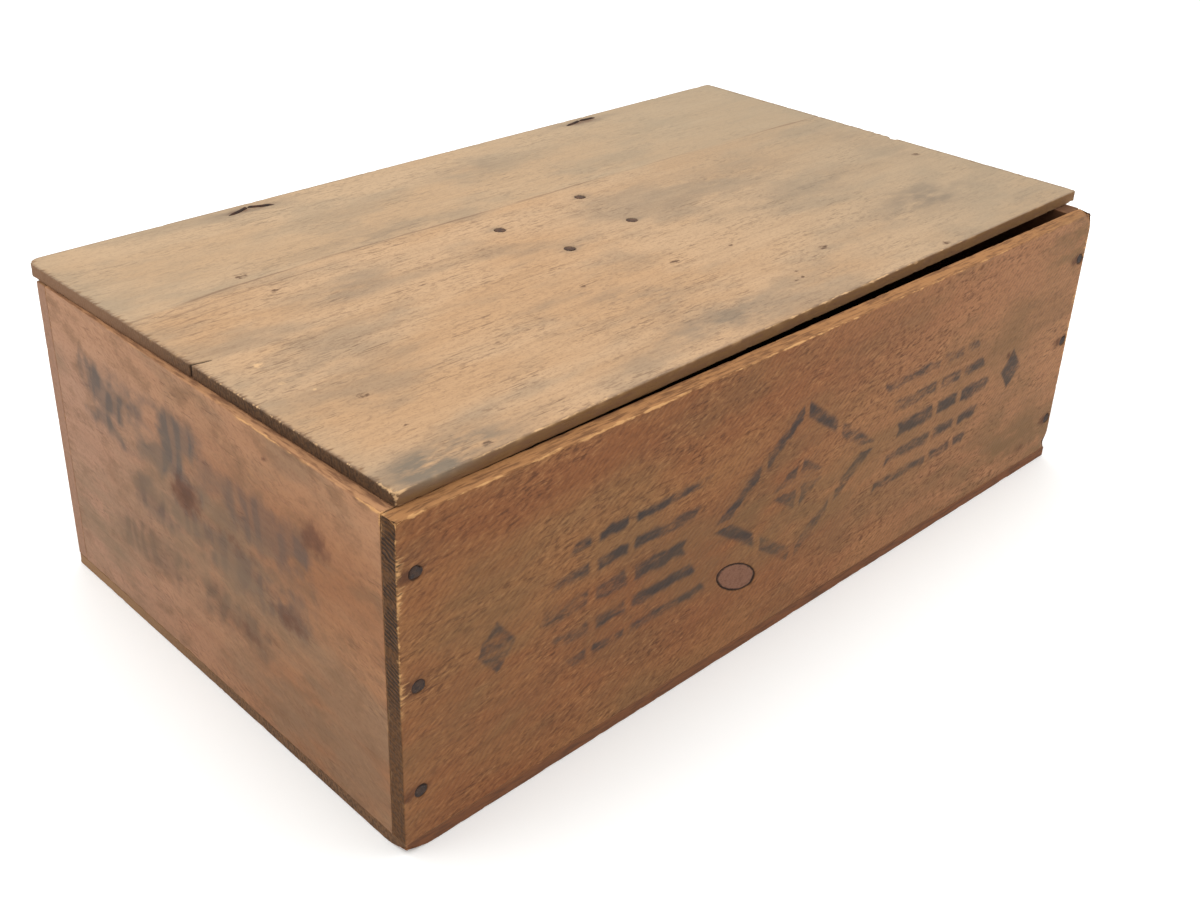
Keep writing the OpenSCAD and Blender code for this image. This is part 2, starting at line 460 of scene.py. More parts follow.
class Tree:
    """Node tree of one material. Its values are written as expressions on Fields."""

    def __init__(self, name: str) -> None:
        """Starts an empty material whose patterns are laid out in millimetres.

        Args:
            name: Name of the material.
        """
        self.material = bpy.data.materials.new(name)
        self.material.use_nodes = True
        self.nodes = self.material.node_tree.nodes
        self.links = self.material.node_tree.links
        self.nodes.clear()
        metres = self.node("ShaderNodeTexCoord", {}, {}, "Object")
        scale = {"operation": "SCALE"}
        self.place = self.node("ShaderNodeVectorMath", scale, {0: metres, "Scale": 1 / MM})
        names = ("X", "Y", "Z")
        self.axes = [self.node("ShaderNodeSeparateXYZ", {}, {0: self.place}, n) for n in names]

    def node(
        self,
        kind: str,
        settings: dict[str, Any],
        inputs: dict[Union[int, str], Any],
        output: Union[int, str, None] = 0,
    ) -> Optional[Field]:
        """Adds a node, sets it up and feeds its sockets.

        Args:
            kind: Type of the node.
            settings: The node's own settings, which are set first.
            inputs: Values or Fields for its sockets, by place or name.
            output: The socket that is returned, or None for a node without one.

        Returns:
            The output socket as a Field.
        """
        made = self.nodes.new(kind)
        for name, value in settings.items():
            setattr(made, name, value)
        for key, value in inputs.items():
            socket = made.inputs[key]
            if isinstance(value, Field):
                self.links.new(value.socket, socket)
            elif socket.type == "RGBA":
                socket.default_value = (*value, 1.0)
            else:
                socket.default_value = value
        return None if output is None else Field(self, made.outputs[output])

    def math(self, operation: str, *values: Number) -> Field:
        """Math node on one or two values."""
        return self.node("ShaderNodeMath", {"operation": operation}, dict(enumerate(values)))

    def mix(self, share: Number, first: Any, second: Any) -> Field:
        """Colour between two colours: the first one where share is 0, the second where it is 1."""
        settings = {"data_type": "RGBA", "clamp_factor": True}
        return self.node("ShaderNodeMix", settings, {0: share, 6: first, 7: second}, 2)

    def layers(self, colour: Any, *coats: tuple[Number, Any]) -> Field:
        """Colour under several coats that lie one over the other.

        Args:
            colour: Colour of the ground.
            coats: For each coat its share and its colour, the lowest one first.

        Returns:
            The colour on top.
        """
        for share, coat in coats:
            colour = self.mix(share, colour, coat)
        return colour

    def attribute(self, name: str) -> Field:
        """Value that the mesh holds for each of its points."""
        return self.node("ShaderNodeAttribute", {"attribute_name": name}, {}, "Fac")

    def noise(
        self,
        lengths: Triple,
        shift: float,
        detail: float = 2.0,
        rough: float = 0.5,
        place: Optional[Field] = None,
    ) -> Field:
        """Noise from 0 to 1.

        Args:
            lengths: Size of its features along X, Y and Z.
            shift: Picks another stretch of the noise.
            detail: Number of finer sizes added.
            rough: Share of each finer size.
            place: Where it is read, if not at the point's own place.

        Returns:
            The noise.
        """
        inputs = {0: place or self.place, 1: tuple(1 / size for size in lengths), 2: (shift, shift, shift)}
        scaled = self.node("ShaderNodeVectorMath", {"operation": "MULTIPLY_ADD"}, inputs)
        inputs = {"Vector": scaled, "Scale": 1.0, "Detail": detail, "Roughness": rough}
        return self.node("ShaderNodeTexNoise", {}, inputs)

    def surface(self, colour: Field, rough: Number, height: Field, **sockets: float) -> bpy.types.Material:
        """Ends the tree in a shader.

        Args:
            colour: Base colour.
            rough: Roughness.
            height: Relief in millimetres.
            sockets: Other inputs of the shader, with _ for spaces in their names.

        Returns:
            The material.
        """
        bump = self.node("ShaderNodeBump", {}, {"Strength": 1.0, "Distance": MM, "Height": height})
        inputs = {"Base Color": colour, "Roughness": rough, "Normal": bump}
        inputs.update({name.replace("_", " "): value for name, value in sockets.items()})
        shader = self.node("ShaderNodeBsdfPrincipled", {}, inputs)
        self.node("ShaderNodeOutputMaterial", {}, {"Surface": shader}, None)
        return self.material


@dataclass(frozen=True)
class PineFinish:
    """Dry old pine: rings, streaks, dabs, flecks and clouds, worn arrises with a painted highlight, sawn
    ends, a clean inside, and painted shade in kerfs, hollows and the inside of the case.
    """

    name: str
    grain: Grain
    shift: float
    pale: Tint
    warm: Tint
    dark: Tint
    grey: Tint
    edge: Tint
    end: Tint
    # On the case boards the inside tint is darkened from a paler pine as painted shade inside the closed box.
    inside: Tint = tint(138, 101, 70)
    worn: Tint = tint(208, 158, 104)
    # soot is the grain's own dark in cells and knots, and painted shade in kerfs, nicks and hollows.
    soot_and_shade: Tint = tint(34, 24, 18)
    ring_pitch: float = 8.0
    ring_tone: float = 0.06
    streak_tone: float = 0.16
    dab_tone: float = 0.40
    dab_lean: float = 0.10
    speck_tone: float = 0.25
    fleck_tone: float = 0.45
    cloud_tone: float = 0.40
    saw_tone: float = 0.0
    cell_tone: float = 0.50
    back_end: Optional[Tint] = None
    back_span: Pair = (-35.0, 85.0)
    back_share: float = 0.85
    kerf_tone: float = 0.15
    kerf_from: float = -50.0
    nick_tone: float = 0.0

    def spread(
        self, tree: Tree, along: float, across: float, detail: float = 2.0, step: float = 0.0
    ) -> Field:
        """Noise whose features lie along the grain.

        Args:
            tree: The material's tree.
            along: Their length along the grain.
            across: Their width across it.
            detail: Number of finer sizes added.
            step: Picks another stretch of the noise.

        Returns:
            The noise from 0 to 1.
        """
        return tree.noise(self.grain.sizes(along, across, across), self.shift + step, detail, 0.6)

    def rings(self, tree: Tree) -> Field:
        """Dark late wood of the growth rings: crests of a sine of the bent distance across the board.

        Args:
            tree: The material's tree.

        Returns:
            The late wood from 0 to 1.
        """
        _, across, through = (tree.axes[axis] for axis in self.grain.value)
        bend = self.spread(tree, 420, 70, 1.0, 3.1) * 55 + self.spread(tree, 70, 16, 1.0, 5.7) * 6
        return ((across + through * 0.7 + bend) / self.ring_pitch).sine().above(0.35, 0.98)

    def kerfs(self, tree: Tree) -> Field:
        """Saw kerfs of the end grain: crests of a sine across the end, uneven in pitch and depth.

        Args:
            tree: The material's tree.

        Returns:
            The kerfs from 0 to 1.
        """
        _, across, through = (tree.axes[axis] for axis in self.grain.value)
        wander = tree.noise((12, 12, 12), self.shift + 40, 1.0) * 2
        wander = wander + tree.noise((3, 3, 3), self.shift + 44, 1.0)
        deep = tree.noise((7, 7, 7), self.shift + 50, 2.0).above(0.34, 0.58)
        rough = tree.axes[2].above(self.kerf_from - 14, self.kerf_from + 14) * 0.85 + 0.15
        return ((across - through * 0.3) / 1.6 + wander).sine().above(-0.5, 0.7) * deep * rough

    def dabs(self, tree: Tree) -> Field:
        """Short dabs of light and dark that rise from the grain by the lean: across - lean * along.

        Args:
            tree: The material's tree.

        Returns:
            Noise from 0 to 1, dark where it is high and light where it is low.
        """
        along, across, _ = self.grain.value
        fall = tuple(-self.dab_lean * (axis == across) for axis in range(3))
        inputs = {0: fall, "Scale": tree.axes[along]}
        shift = tree.node("ShaderNodeVectorMath", {"operation": "SCALE"}, inputs)
        leaning = tree.node("ShaderNodeVectorMath", {"operation": "ADD"}, {0: tree.place, 1: shift})
        return tree.noise(self.grain.sizes(3.4, 1.2, 1.2), self.shift + 37, 2.0, 0.55, leaning)

    def base(self, tree: Tree) -> Field:
        """Ground colour in broad soft patches."""
        return tree.mix(self.spread(tree, 110, 34, 3.0, 11.3).above(0.38, 0.62), self.pale, self.warm)

    def wood(self, tree: Tree) -> tuple[Field, Field]:
        """Colour and relief of the clean board.

        Args:
            tree: The material's tree.

        Returns:
            The colour, and the relief in millimetres.
        """
        cloud = self.spread(tree, 62, 26, 4.0, 6.6).above(0.45, 0.66)
        streak = self.spread(tree, 60, 1.7, 2.0, 16.1)
        speck = self.spread(tree, 1.5, 0.8, 1.0, 1.9)
        dab = self.dabs(tree)
        patch = self.spread(tree, 34, 15, 2.0, 27.0).above(0.38, 0.62)
        busy = patch * 0.55 + 0.45
        fleck = self.spread(tree, 7.5, 0.75, 1.0, 8.4).above(0.61, 0.71) * patch
        along, across, _ = (tree.axes[axis] for axis in self.grain.value)
        wander = self.spread(tree, 14, 9, 2.0, 2.2) * 2.0
        saw = ((along * 0.95 - across) / 3.0 + wander).sine() * (1 - patch * 0.7)
        shade = self.rings(tree) * self.ring_tone + streak.above(0.46, 0.72) * self.streak_tone
        colour = tree.layers(
            self.base(tree),
            (cloud * self.cloud_tone, self.grey),
            (shade, self.dark),
            (dab.above(0.51, 0.67) * busy * self.dab_tone, self.dark),
            (dab.below(0.28, 0.48) * busy * (self.dab_tone * 0.30), self.worn),
            (speck.above(0.50, 0.74) * self.speck_tone, self.dark),
            (fleck * self.fleck_tone, self.dark),
            (saw.above(0.0, 1.0) * self.saw_tone, self.dark),
        )
        height = dab * 0.14 + streak * 0.06 + speck * 0.08 - fleck * 0.10 + saw * (self.saw_tone * 0.3)
        return colour, height

    def clean(self, tree: Tree) -> Field:
        """Colour of the sheltered inner face: the same grain without dirt, in patches, lines and flecks, on
        an inside tint that is darkened as painted shade on the case boards.

        Args:
            tree: The material's tree.

        Returns:
            The colour.
        """
        patch = self.spread(tree, 90, 20, 3.0, 61.0)
        line = self.spread(tree, 48, 1.5, 3.0, 64.0)
        fleck = self.spread(tree, 7.0, 0.8, 1.0, 67.0)
        return tree.layers(
            self.inside,
            (patch.above(0.36, 0.64) * 0.45, self.warm),
            (self.rings(tree) * 0.22, self.dark),
            (line.above(0.46, 0.72) * 0.40, self.dark),
            (fleck.above(0.60, 0.72) * 0.50, self.dark),
        )

    def sawn(self, tree: Tree, kerfs: Field) -> Field:
        """Colour of the end grain, dark in its cells and in its kerfs, where the dark is painted shade in the
        saw grooves; it may turn paler to the back.

        Args:
            tree: The material's tree.
            kerfs: Saw kerfs of the end.

        Returns:
            The colour.
        """
        cell = tree.noise((1.3, 1.3, 1.3), self.shift, 3.0)
        # The kerfs take the dark tint as painted shade in the saw grooves; the cells are the grain's own
        # dark.
        coats = [(cell.above(0.40, 0.64) * self.cell_tone, self.soot_and_shade), (kerfs * self.kerf_tone, self.soot_and_shade)]
        if self.back_end is not None:
            coats.append((tree.axes[1].above(*self.back_span) * self.back_share, self.back_end))
        return tree.layers(self.end, *coats)

    def details(self, tree: Tree, colour: Field) -> Field:
        """Colour with what only this board has on it."""
        return colour

    def weathered(self, tree: Tree, colour: Field, kerfs: Field) -> Field:
        """Colour with smudges, knots, a clean inside darkened as painted shade on the case boards, edges, end
        grain, painted shade in hollows and kerf nicks, and worn arrises that are bare wood with a painted
        highlight.

        Args:
            tree: The material's tree.
            colour: Colour of the clean board.
            kerfs: Saw kerfs of its ends.

        Returns:
            The colour of the old one.
        """
        stain, knot, end = (tree.attribute(name) for name in ("stain", "knot", "end_grain"))
        broken = self.spread(tree, 20, 8, 4.0, 14.2)
        ragged = knot + (tree.noise((6, 6, 6), self.shift + 60, 4.0, 0.6) - 0.5) * 1.3
        side = tree.layers(
            self.edge,
            (self.spread(tree, 9, 1.2, 3.0, 25.0).above(0.40, 0.66) * 0.65, self.dark),
            (stain * 0.75, self.grey),
        )
        gap = tree.attribute("end_gap") * 0.12 + self.spread(tree, 6.0, 1.5, 2.0, 33.0) * 1.5
        rough = tree.axes[2].above(self.kerf_from - 24, self.kerf_from)
        rough = rough * tree.noise((9, 9, 15), self.shift + 71, 1.0).above(0.36, 0.52)
        nicks = gap.below(0.70, 0.98) * (1 - end) * rough * self.nick_tone
        patchy = self.spread(tree, 7, 1.8, 3.0, 4.4)
        bare = patchy + tree.attribute("rub") * 0.28 - tree.attribute("arris") * 0.18 - 0.17
        return tree.layers(
            colour,
            (stain * broken.above(0.30, 0.62), self.grey),
            (ragged.above(0.10, 0.75) * knot.above(0.05, 0.3) * 0.80, self.dark),
            (ragged.above(0.70, 1.00) * 0.25, self.soot_and_shade),
            (tree.attribute("inner"), self.clean(tree)),
            (tree.attribute("edge"), side),
            (end, self.sawn(tree, kerfs)),
            (nicks * 0.85, self.worn),
            # Painted shade in the kerf nicks; the pale torn fibre above them is real wear.
            (nicks * kerfs * 0.9, self.soot_and_shade),
            # Painted shade: darker in the hollows round the nail heads, in the lid's split and notch, and
            # round the knot's pocket.
            (tree.attribute("hollow").above(0.08, 0.45) * 0.75, self.soot_and_shade),
            # Worn arrises: pale bare wood where rubbed, which also stands in for a painted highlight on the
            # edges.
            (bare.above(0.42, 0.62) * 0.75, self.worn),
            (tree.attribute("torn") * 0.8, self.worn),
        )

    def material(self) -> bpy.types.Material:
        """The finish as a material.

        Returns:
            The material.
        """
        tree = Tree(self.name)
        kerfs = self.kerfs(tree)
        colour, height = self.wood(tree)
        colour = self.details(tree, colour)
        colour = self.weathered(tree, colour, kerfs)
        height = height - tree.attribute("end_grain") * kerfs * (self.kerf_tone * 0.7)
        rough = 0.78 + self.spread(tree, 30, 3, 1.0, 9.9) * 0.16
        return tree.surface(colour, rough, height, Specular_IOR_Level=0.25)


@dataclass(frozen=True)
class Stencil:
    """Faded ink of a plain stencilled ornament: a lozenge in a lozenge between rows of bars."""

    across: float
    up: float
    size: float
    ink: Tint
    strength: float
    soft: float = 0.9
    outer: Triple = (46.0, 33.0, 27.0)
    outline: float = 2.6
    inner: Triple = (17.0, 12.0, 10.0)
    cross_bridge: float = 23.0
    middle_bar: float = 3.2
    other_bars: tuple[Pair, ...] = ((12.0, 2.4), (23.0, 1.9))
    bars_middle: float = 100.0
    bars_half: float = 34.0
    bars_slant: float = 0.6
    bar_bridges: Pair = (92.0, 110.0)
    spot: Triple = (8.0, 10.0, 8.0)
    spot_middle: float = 152.0

    def stroke(self, away: Field, half: float) -> Field:
        """Band of ink where away is within half of 0, with soft sides."""
        return abs(away).below(half - self.soft, half + self.soft)

    def bridge(self, x: Field, place: float) -> Field:
        """Gap in the ink, one strip wide, at a distance from the middle."""
        return abs(x - place).above(0.8, 1.6 + self.soft)

    def lozenge(self, x: Field, height: Field, shape: Triple) -> Field:
        """How far a place lies outside a lozenge: (x / a + z / b - 1) * c, for a shape of a, b and c."""
        return (x / shape[0] + height / shape[1] - 1) * shape[2]

    def mask(self, flat: Field, tall: Field) -> Field:
        """Where the ink is.

        A lozenge is where |x| / a + |z| / b is below 1, and its outline is a band round 1.
        Bridges of the stencil cut every outline and bar.

        Args:
            flat: Level place on the board.
            tall: Upright place on the board.

        Returns:
            The ink from 0 to 1.
        """
        x = abs(flat - self.across) / self.size
        height = abs(tall - self.up) / self.size
        inside = self.lozenge(x, height, self.inner).below(-self.soft, self.soft)
        bridges = x.above(1.0, 2.2) * height.above(0.9, 2.0) * self.bridge(x, self.cross_bridge)
        lozenges = self.stroke(self.lozenge(x, height, self.outer), self.outline).at_least(inside) * bridges
        bars = self.stroke(height, self.middle_bar)
        for up, half in self.other_bars:
            bars = bars.at_least(self.stroke(height - up, half))
        reach = self.stroke(x + height * self.bars_slant - self.bars_middle, self.bars_half)
        for place in self.bar_bridges:
            reach = reach * self.bridge(x, place)
        spot = self.lozenge(abs(x - self.spot_middle), height, self.spot)
        return lozenges.at_least(bars * reach).at_least(spot.below(-self.soft, self.soft))

    def over(self, tree: Tree, colour: Field, flat: Field, tall: Field, broken: Field) -> Field:
        """Colour with the ink on it.

        Args:
            tree: The material's tree.
            colour: Colour of the wood.
            flat: Level place on the board.
            tall: Upright place on the board.
            broken: Noise that wears the ink away.

        Returns:
            The colour with the faded ornament.
        """
        drift = tree.noise((7, 7, 7), 12.0, 3.0) * (self.soft * 4) - self.soft * 2
        ink = self.mask(flat + drift, tall - drift) * broken.above(0.32, 0.60) * self.strength
        return tree.mix(ink, colour, self.ink)


@dataclass(frozen=True)
class FrontFinish(PineFinish):
    """Pine of the front board: paler to the right as painted light, with a faded ornament and a dark ring
    painted as the shade in the gap round its knot.
    """

    ornament: Stencil = Stencil(-6.0, 64.0, 1.0, tint(44, 43, 44), 0.86, 1.1)
    # far is painted light: the ground turns paler to the right, where more light falls.
    far: Tint = tint(158, 113, 80)
    far_span: Pair = (-70.0, 200.0)
    far_share: float = 0.85
    outer_face: Pair = (-109.0, -106.0)
    # gap is painted shade: the dark ring in the gap round the knot.
    gap: Tint = tint(52, 34, 26)
    knot_place: Pair = (-39.0, 36.0)
    knot_half: Pair = (12.3, 5.4)
    knot_turn: float = 28.0

    def base(self, tree: Tree) -> Field:
        """Ground colour that turns paler to the right: painted light, brighter where more light falls."""
        return tree.mix(tree.axes[0].above(*self.far_span) * self.far_share, super().base(tree), self.far)

    def knot_axes(self, x: Any, z: Any) -> tuple[Any, Any]:
        """Places along the knot's long and short axes, in half lengths, of Fields or of arrays.

        Args:
            x: Places to the right.
            z: Places up.

        Returns:
            The places along both axes, which are 1 away from the middle at the knot's edge.
        """
        turn = math.radians(self.knot_turn)
        right, high = x - self.knot_place[0], z - self.knot_place[1]
        long = (right * math.cos(turn) - high * math.sin(turn)) / self.knot_half[0]
        wide = (right * math.sin(turn) + high * math.cos(turn)) / self.knot_half[1]
        return long, wide

    def details(self, tree: Tree, colour: Field) -> Field:
        """Colour with the ornament on the outer face and a dark ring painted as the shade in the gap round
        the knot.

        Args:
            tree: The material's tree.
            colour: Colour of the wood.

        Returns:
            The colour with both.
        """
        x, y, z = tree.axes
        cloudy = tree.noise((40, 40, 28), 4.0, 3.0)
        broken = self.spread(tree, 7, 2.6, 3.0, 21.0) * 0.5 + cloudy * 0.5
        haze = abs(z - self.ornament.up).below(12.0, 50.0) * cloudy.above(0.44, 0.66) * 0.40
        inked = self.ornament.over(tree, tree.mix(haze, colour, self.grey), x, z, broken)
        colour = tree.mix(y.below(*self.outer_face), colour, inked)
        # Painted shade: a dark ring in the gap round the knot.
        long, wide = self.knot_axes(x, z)
        uneven = tree.noise((6, 6, 6), 2.0, 2.0) * 0.36
        oval = tree.math("SQRT", long * long + wide * wide) + uneven - 0.18
        return tree.mix(oval.below(0.99, 1.09) * 0.85, colour, self.gap)


@dataclass(frozen=True)
class SmearedRow:
    """Row of upright bars whose print has smeared: its middle, half its length and height, and its ink."""

    along: float
    up: float
    half_long: float
    half_high: float
    pitch: float
    ink: Tint
    strength: float

    def over(self, tree: Tree, colour: Field, flat: Field, tall: Field, broken: Field) -> Field:
        """Colour with the row on it.

        The bars are crests of a sine along the row. Noise bends them and wears the row away in places.

        Args:
            tree: The material's tree.
            colour: Colour of the wood.
            flat: Level place on the board.
            tall: Upright place on the board.
            broken: Noise that bends and wears the print.

        Returns:
            The colour with the smeared print.
        """
        bent = flat + (broken - 0.5) * 6 + tree.noise((40, 26, 60), self.up + 3, 2.0) * 34 + tall * 0.12
        bars = (bent / self.pitch).sine().above(-0.9, 0.8) * 0.35 + 0.65
        ragged = (broken - 0.5) * 30
        long = abs(flat - self.along + ragged).below(self.half_long - 6, self.half_long + 6)
        high = abs(tall - self.up + ragged * 0.5).below(self.half_high - 4, self.half_high + 4)
        worn = tree.noise((20, 20, 14), self.up, 3.0).above(0.32, 0.52)
        return tree.mix(bars * long * high * worn * self.strength, colour, self.ink)


@dataclass(frozen=True)
class EndFinish(PineFinish):
    """Pine of the left end board: paler to the back and the top, partly its own pinker tone and partly
    painted light, with four rows of smeared print.
    """

    # far and upper are partly the board's own pinker tone and partly painted light, brighter where more light
    # falls.
    far: Tint = tint(166, 129, 107)
    far_span: Pair = (-70.0, 110.0)
    far_share: float = 0.75
    upper: Tint = tint(172, 129, 97)
    upper_span: Pair = (92.0, 124.0)
    upper_share: float = 0.60
    outer_face: Pair = (-195.0, -192.0)
    smudge: Tint = tint(112, 82, 58)
    rows: tuple[SmearedRow, ...] = (
        SmearedRow(40.0, 95.0, 40.0, 14.0, 11.0, tint(88, 77, 70), 0.95),
        SmearedRow(-34.0, 90.0, 30.0, 10.0, 11.0, tint(84, 70, 63), 0.75),
        SmearedRow(-6.0, 66.0, 54.0, 9.0, 9.0, tint(86, 71, 62), 0.78),
        SmearedRow(16.0, 42.0, 52.0, 8.0, 9.0, tint(88, 70, 56), 0.70),
    )

    def base(self, tree: Tree) -> Field:
        """Ground colour that turns paler to the back and to the top, partly the board's own tone and partly
        painted light.

        Args:
            tree: The material's tree.

        Returns:
            The colour.
        """
        back, high = tree.axes[1].above(*self.far_span), tree.axes[2].above(*self.upper_span)
        coats = ((back * self.far_share, self.far), (high * self.upper_share, self.upper))
        return tree.layers(super().base(tree), *coats)

    def details(self, tree: Tree, colour: Field) -> Field:
        """Colour with smudges, and with the smeared rows on the outer face.

        Args:
            tree: The material's tree.
            colour: Colour of the wood.

        Returns:
            The colour with both.
        """
        x, y, z = tree.axes
        smudge = tree.noise((18, 18, 10), 14.0, 5.0, 0.65).above(0.47, 0.66)
        colour = tree.mix(smudge * 0.50, colour, self.smudge)
        broken = tree.noise((10, 10, 16), 4.0, 4.0, 0.6)
        inked = colour
        for row in self.rows:
            inked = row.over(tree, inked, y, z, broken)
        return tree.mix(x.below(*self.outer_face), colour, inked)


@dataclass(frozen=True)
class LidFinish(PineFinish):
    """Pine of the lid: greyer behind a strong growth ring, to the right and at the ends, pitted, scarred."""

    ring_top: Pair = (-95.0, 51.2)
    ring_bow: float = 0.00072
    cool: Tint = tint(150, 136, 114)
    cool_span: Pair = (-40.0, 190.0)
    cool_share: float = 0.56
    behind: Tint = tint(171, 155, 130)
    behind_share: float = 0.30
    upper_face: Pair = (130.0, 131.0)
    fringe: Tint = tint(116, 84, 56)
    # rim is painted shade along the lid's arrises.
    rim: Tint = tint(112, 92, 78)
    pit: Tint = tint(82, 57, 42)
    pits: tuple[Triple, ...] = (
        (-3.9, -37.2, 1.7), (54.5, -65.5, 2.0), (98.5, -95.0, 1.6), (26.6, -39.7, 0.9),
        (26.0, -74.0, 0.8), (19.0, -80.0, 0.8), (23.6, -79.5, 0.8), (-141.4, 55.8, 2.0),
        (-138.9, 36.9, 1.4), (-162.9, -50.2, 1.6), (-164.6, -74.1, 0.9), (-152.9, -99.0, 1.4),
        (187.9, -18.8, 1.8), (-48.7, -32.3, 1.2),
    )
    scars: tuple[Triple, ...] = ((-177.7, -27.0, 1.1), (-172.3, -36.9, 0.8), (-176.6, -11.2, 1.7))

    def spot(self, tree: Tree, place: Triple, ragged: Field) -> Field:
        """Small ragged spot, longer along the grain: where (x / 1.5 r)^2 + (y / r)^2 and noise stay low.

        Args:
            tree: The material's tree.
            place: X, Y and half its width.
            ragged: Noise that frays its edge.

        Returns:
            The spot from 0 to 1.
        """
        x, y, reach = place
        right, back = (tree.axes[0] - x) / (reach * 1.5), (tree.axes[1] - y) / reach
        return (right * right + back * back + ragged * 4.0).below(1.7, 3.2)

    def details(self, tree: Tree, colour: Field) -> Field:
        """Colour with the ring, the tones beside it, frayed grey ends, and pits and scars on the upper face.

        The ring is straight on its right and bows forwards on its left, where y + bow * x^2 stays the same.

        Args:
            tree: The material's tree.
            colour: Colour of the wood.

        Returns:
            The colour with all of them.
        """
        x, y, z = tree.axes
        wander = self.spread(tree, 40, 6, 2.0, 12.0) * 3
        left = (x - self.ring_top[0]).at_most(0.0)
        past = y + left * left * self.ring_bow - self.ring_top[1] + wander - 1.5
        fine = self.spread(tree, 60, 2.0, 1.0, 30.0).above(0.38, 0.58)
        line = abs(past).below(0.2, 1.0) + abs(past + 6.5).below(0.1, 0.8) * 0.7 * x.below(-130.0, 60.0)
        line = line + abs(past + 12.5).below(0.1, 0.8) * 0.6 * x.below(-150.0, -60.0)
        end_gap = tree.attribute("end_gap")
        frayed = end_gap * 0.16 + self.spread(tree, 7, 1.4, 3.0, 51.0) * 1.6
        ragged = tree.noise((2.0, 1.4, 2.0), 7.0, 3.0)
        top = z.above(*self.upper_face)
        small = [(self.spot(tree, place, ragged) * top * 0.85, self.pit) for place in self.pits]
        small += [(self.spot(tree, place, ragged) * top * 0.70, self.worn) for place in self.scars]
        return tree.layers(
            colour,
            (past.above(-2.0, 2.0) * self.behind_share, self.behind),
            (x.above(*self.cool_span) * self.cool_share, self.cool),
            (line * fine * 0.60, self.dark),
            (end_gap.below(0.0, 26.0) * 0.35, self.cool),
            (frayed.below(0.66, 1.10) * 0.85, self.fringe),
            # Painted shade: a darker line along the lid's arrises.
            (tree.attribute("arris").below(0.2, 1.5) * 0.45, self.rim),
            *small,
        )


@dataclass(frozen=True)
class KnotFinish:
    """Loose knot: smooth reddish heartwood with fine rings and a dark rim."""

    name: str = "knot_heart"
    heart: Tint = tint(118, 80, 60)
    ring: Tint = tint(80, 50, 38)
    rim: Tint = tint(58, 39, 30)

    def material(self) -> bpy.types.Material:
        """The finish as a material.

        Returns:
            The material.
        """
        tree = Tree(self.name)
        out = tree.attribute("knot_out")
        grainy = tree.noise((1.4, 3.0, 1.0), 3.0, 3.0)
        rings = (out * 7 + grainy * 1.4).sine().above(0.1, 1.0)
        colour = tree.layers(
            self.heart,
            (rings * 0.20, self.ring),
            (grainy.above(0.46, 0.70) * 0.40, self.ring),
            ((out + grainy * 0.16).above(0.96, 1.06), self.rim),
        )
        rough = 0.60 + grainy * 0.25
        return tree.surface(colour, rough, grainy * 0.08 - rings * 0.02, Specular_IOR_Level=0.25)


@dataclass(frozen=True)
class IronFinish:
    """Old iron: dull dark oxide with browner rust in patches."""

    name: str
    oxide: Tint
    rust: Tint
    bare: Tint
    metal: float = 0.0

    def material(self) -> bpy.types.Material:
        """The finish as a material.

        Returns:
            The material.
        """
        tree = Tree(self.name)
        patch = tree.noise((2.6, 2.6, 2.6), 2.0, 4.0, 0.6)
        pits = tree.noise((0.6, 0.6, 0.6), 9.0, 2.0)
        coats = ((patch.above(0.42, 0.62), self.rust), (pits.above(0.56, 0.72) * 0.35, self.bare))
        colour = tree.layers(self.oxide, *coats)
        rough = 0.62 + patch * 0.30
        return tree.surface(
            colour, rough, pits * 0.12 + patch * 0.2, Metallic=self.metal, Specular_IOR_Level=0.3
        )


@dataclass(frozen=True)
class FloorFinish:
    """Plain pale paper under the box, lit a little from below like a light table."""

    name: str = "pale_floor"
    paper: Tint = (0.945, 0.96, 0.96)
    shade: Tint = (0.925, 0.94, 0.94)
    glow: float = 0.13

    def material(self) -> bpy.types.Material:
        """The finish as a material.

        Returns:
            The material.
        """
        tree = Tree(self.name)
        mottle = tree.noise((160, 160, 160), 1.0, 2.0)
        colour = tree.mix(mottle, self.paper, self.shade)
        return tree.surface(
            colour, 0.9 + mottle * 0.05, mottle * 0.02, Specular_IOR_Level=0.1,
            Emission_Color=(1.0, 1.0, 1.0), Emission_Strength=self.glow,
        )


@dataclass(frozen=True)
class Recess:
    """Round hollow in a face, where a nail head lies below the wood."""

    place: Triple
    axis: int
    radius: float
    depth: float = 0.55
    lip: float = 0.5
    reach: float = 2.0

    def at(self, points: np.ndarray) -> np.ndarray:
        """Depth at each point: full inside the radius, and 0 from the outside of the lip round it.

        Args:
            points: Places, one row each.

        Returns:
            The depth, which is 0 further than the reach from the face.
        """
        away = points - np.array(self.place)
        near = np.abs(away[:, self.axis]) < self.reach
        away[:, self.axis] = 0
        out = np.linalg.norm(away, axis=1)
        return self.depth * near * (1 - smooth(out, self.radius, self.radius + self.lip))


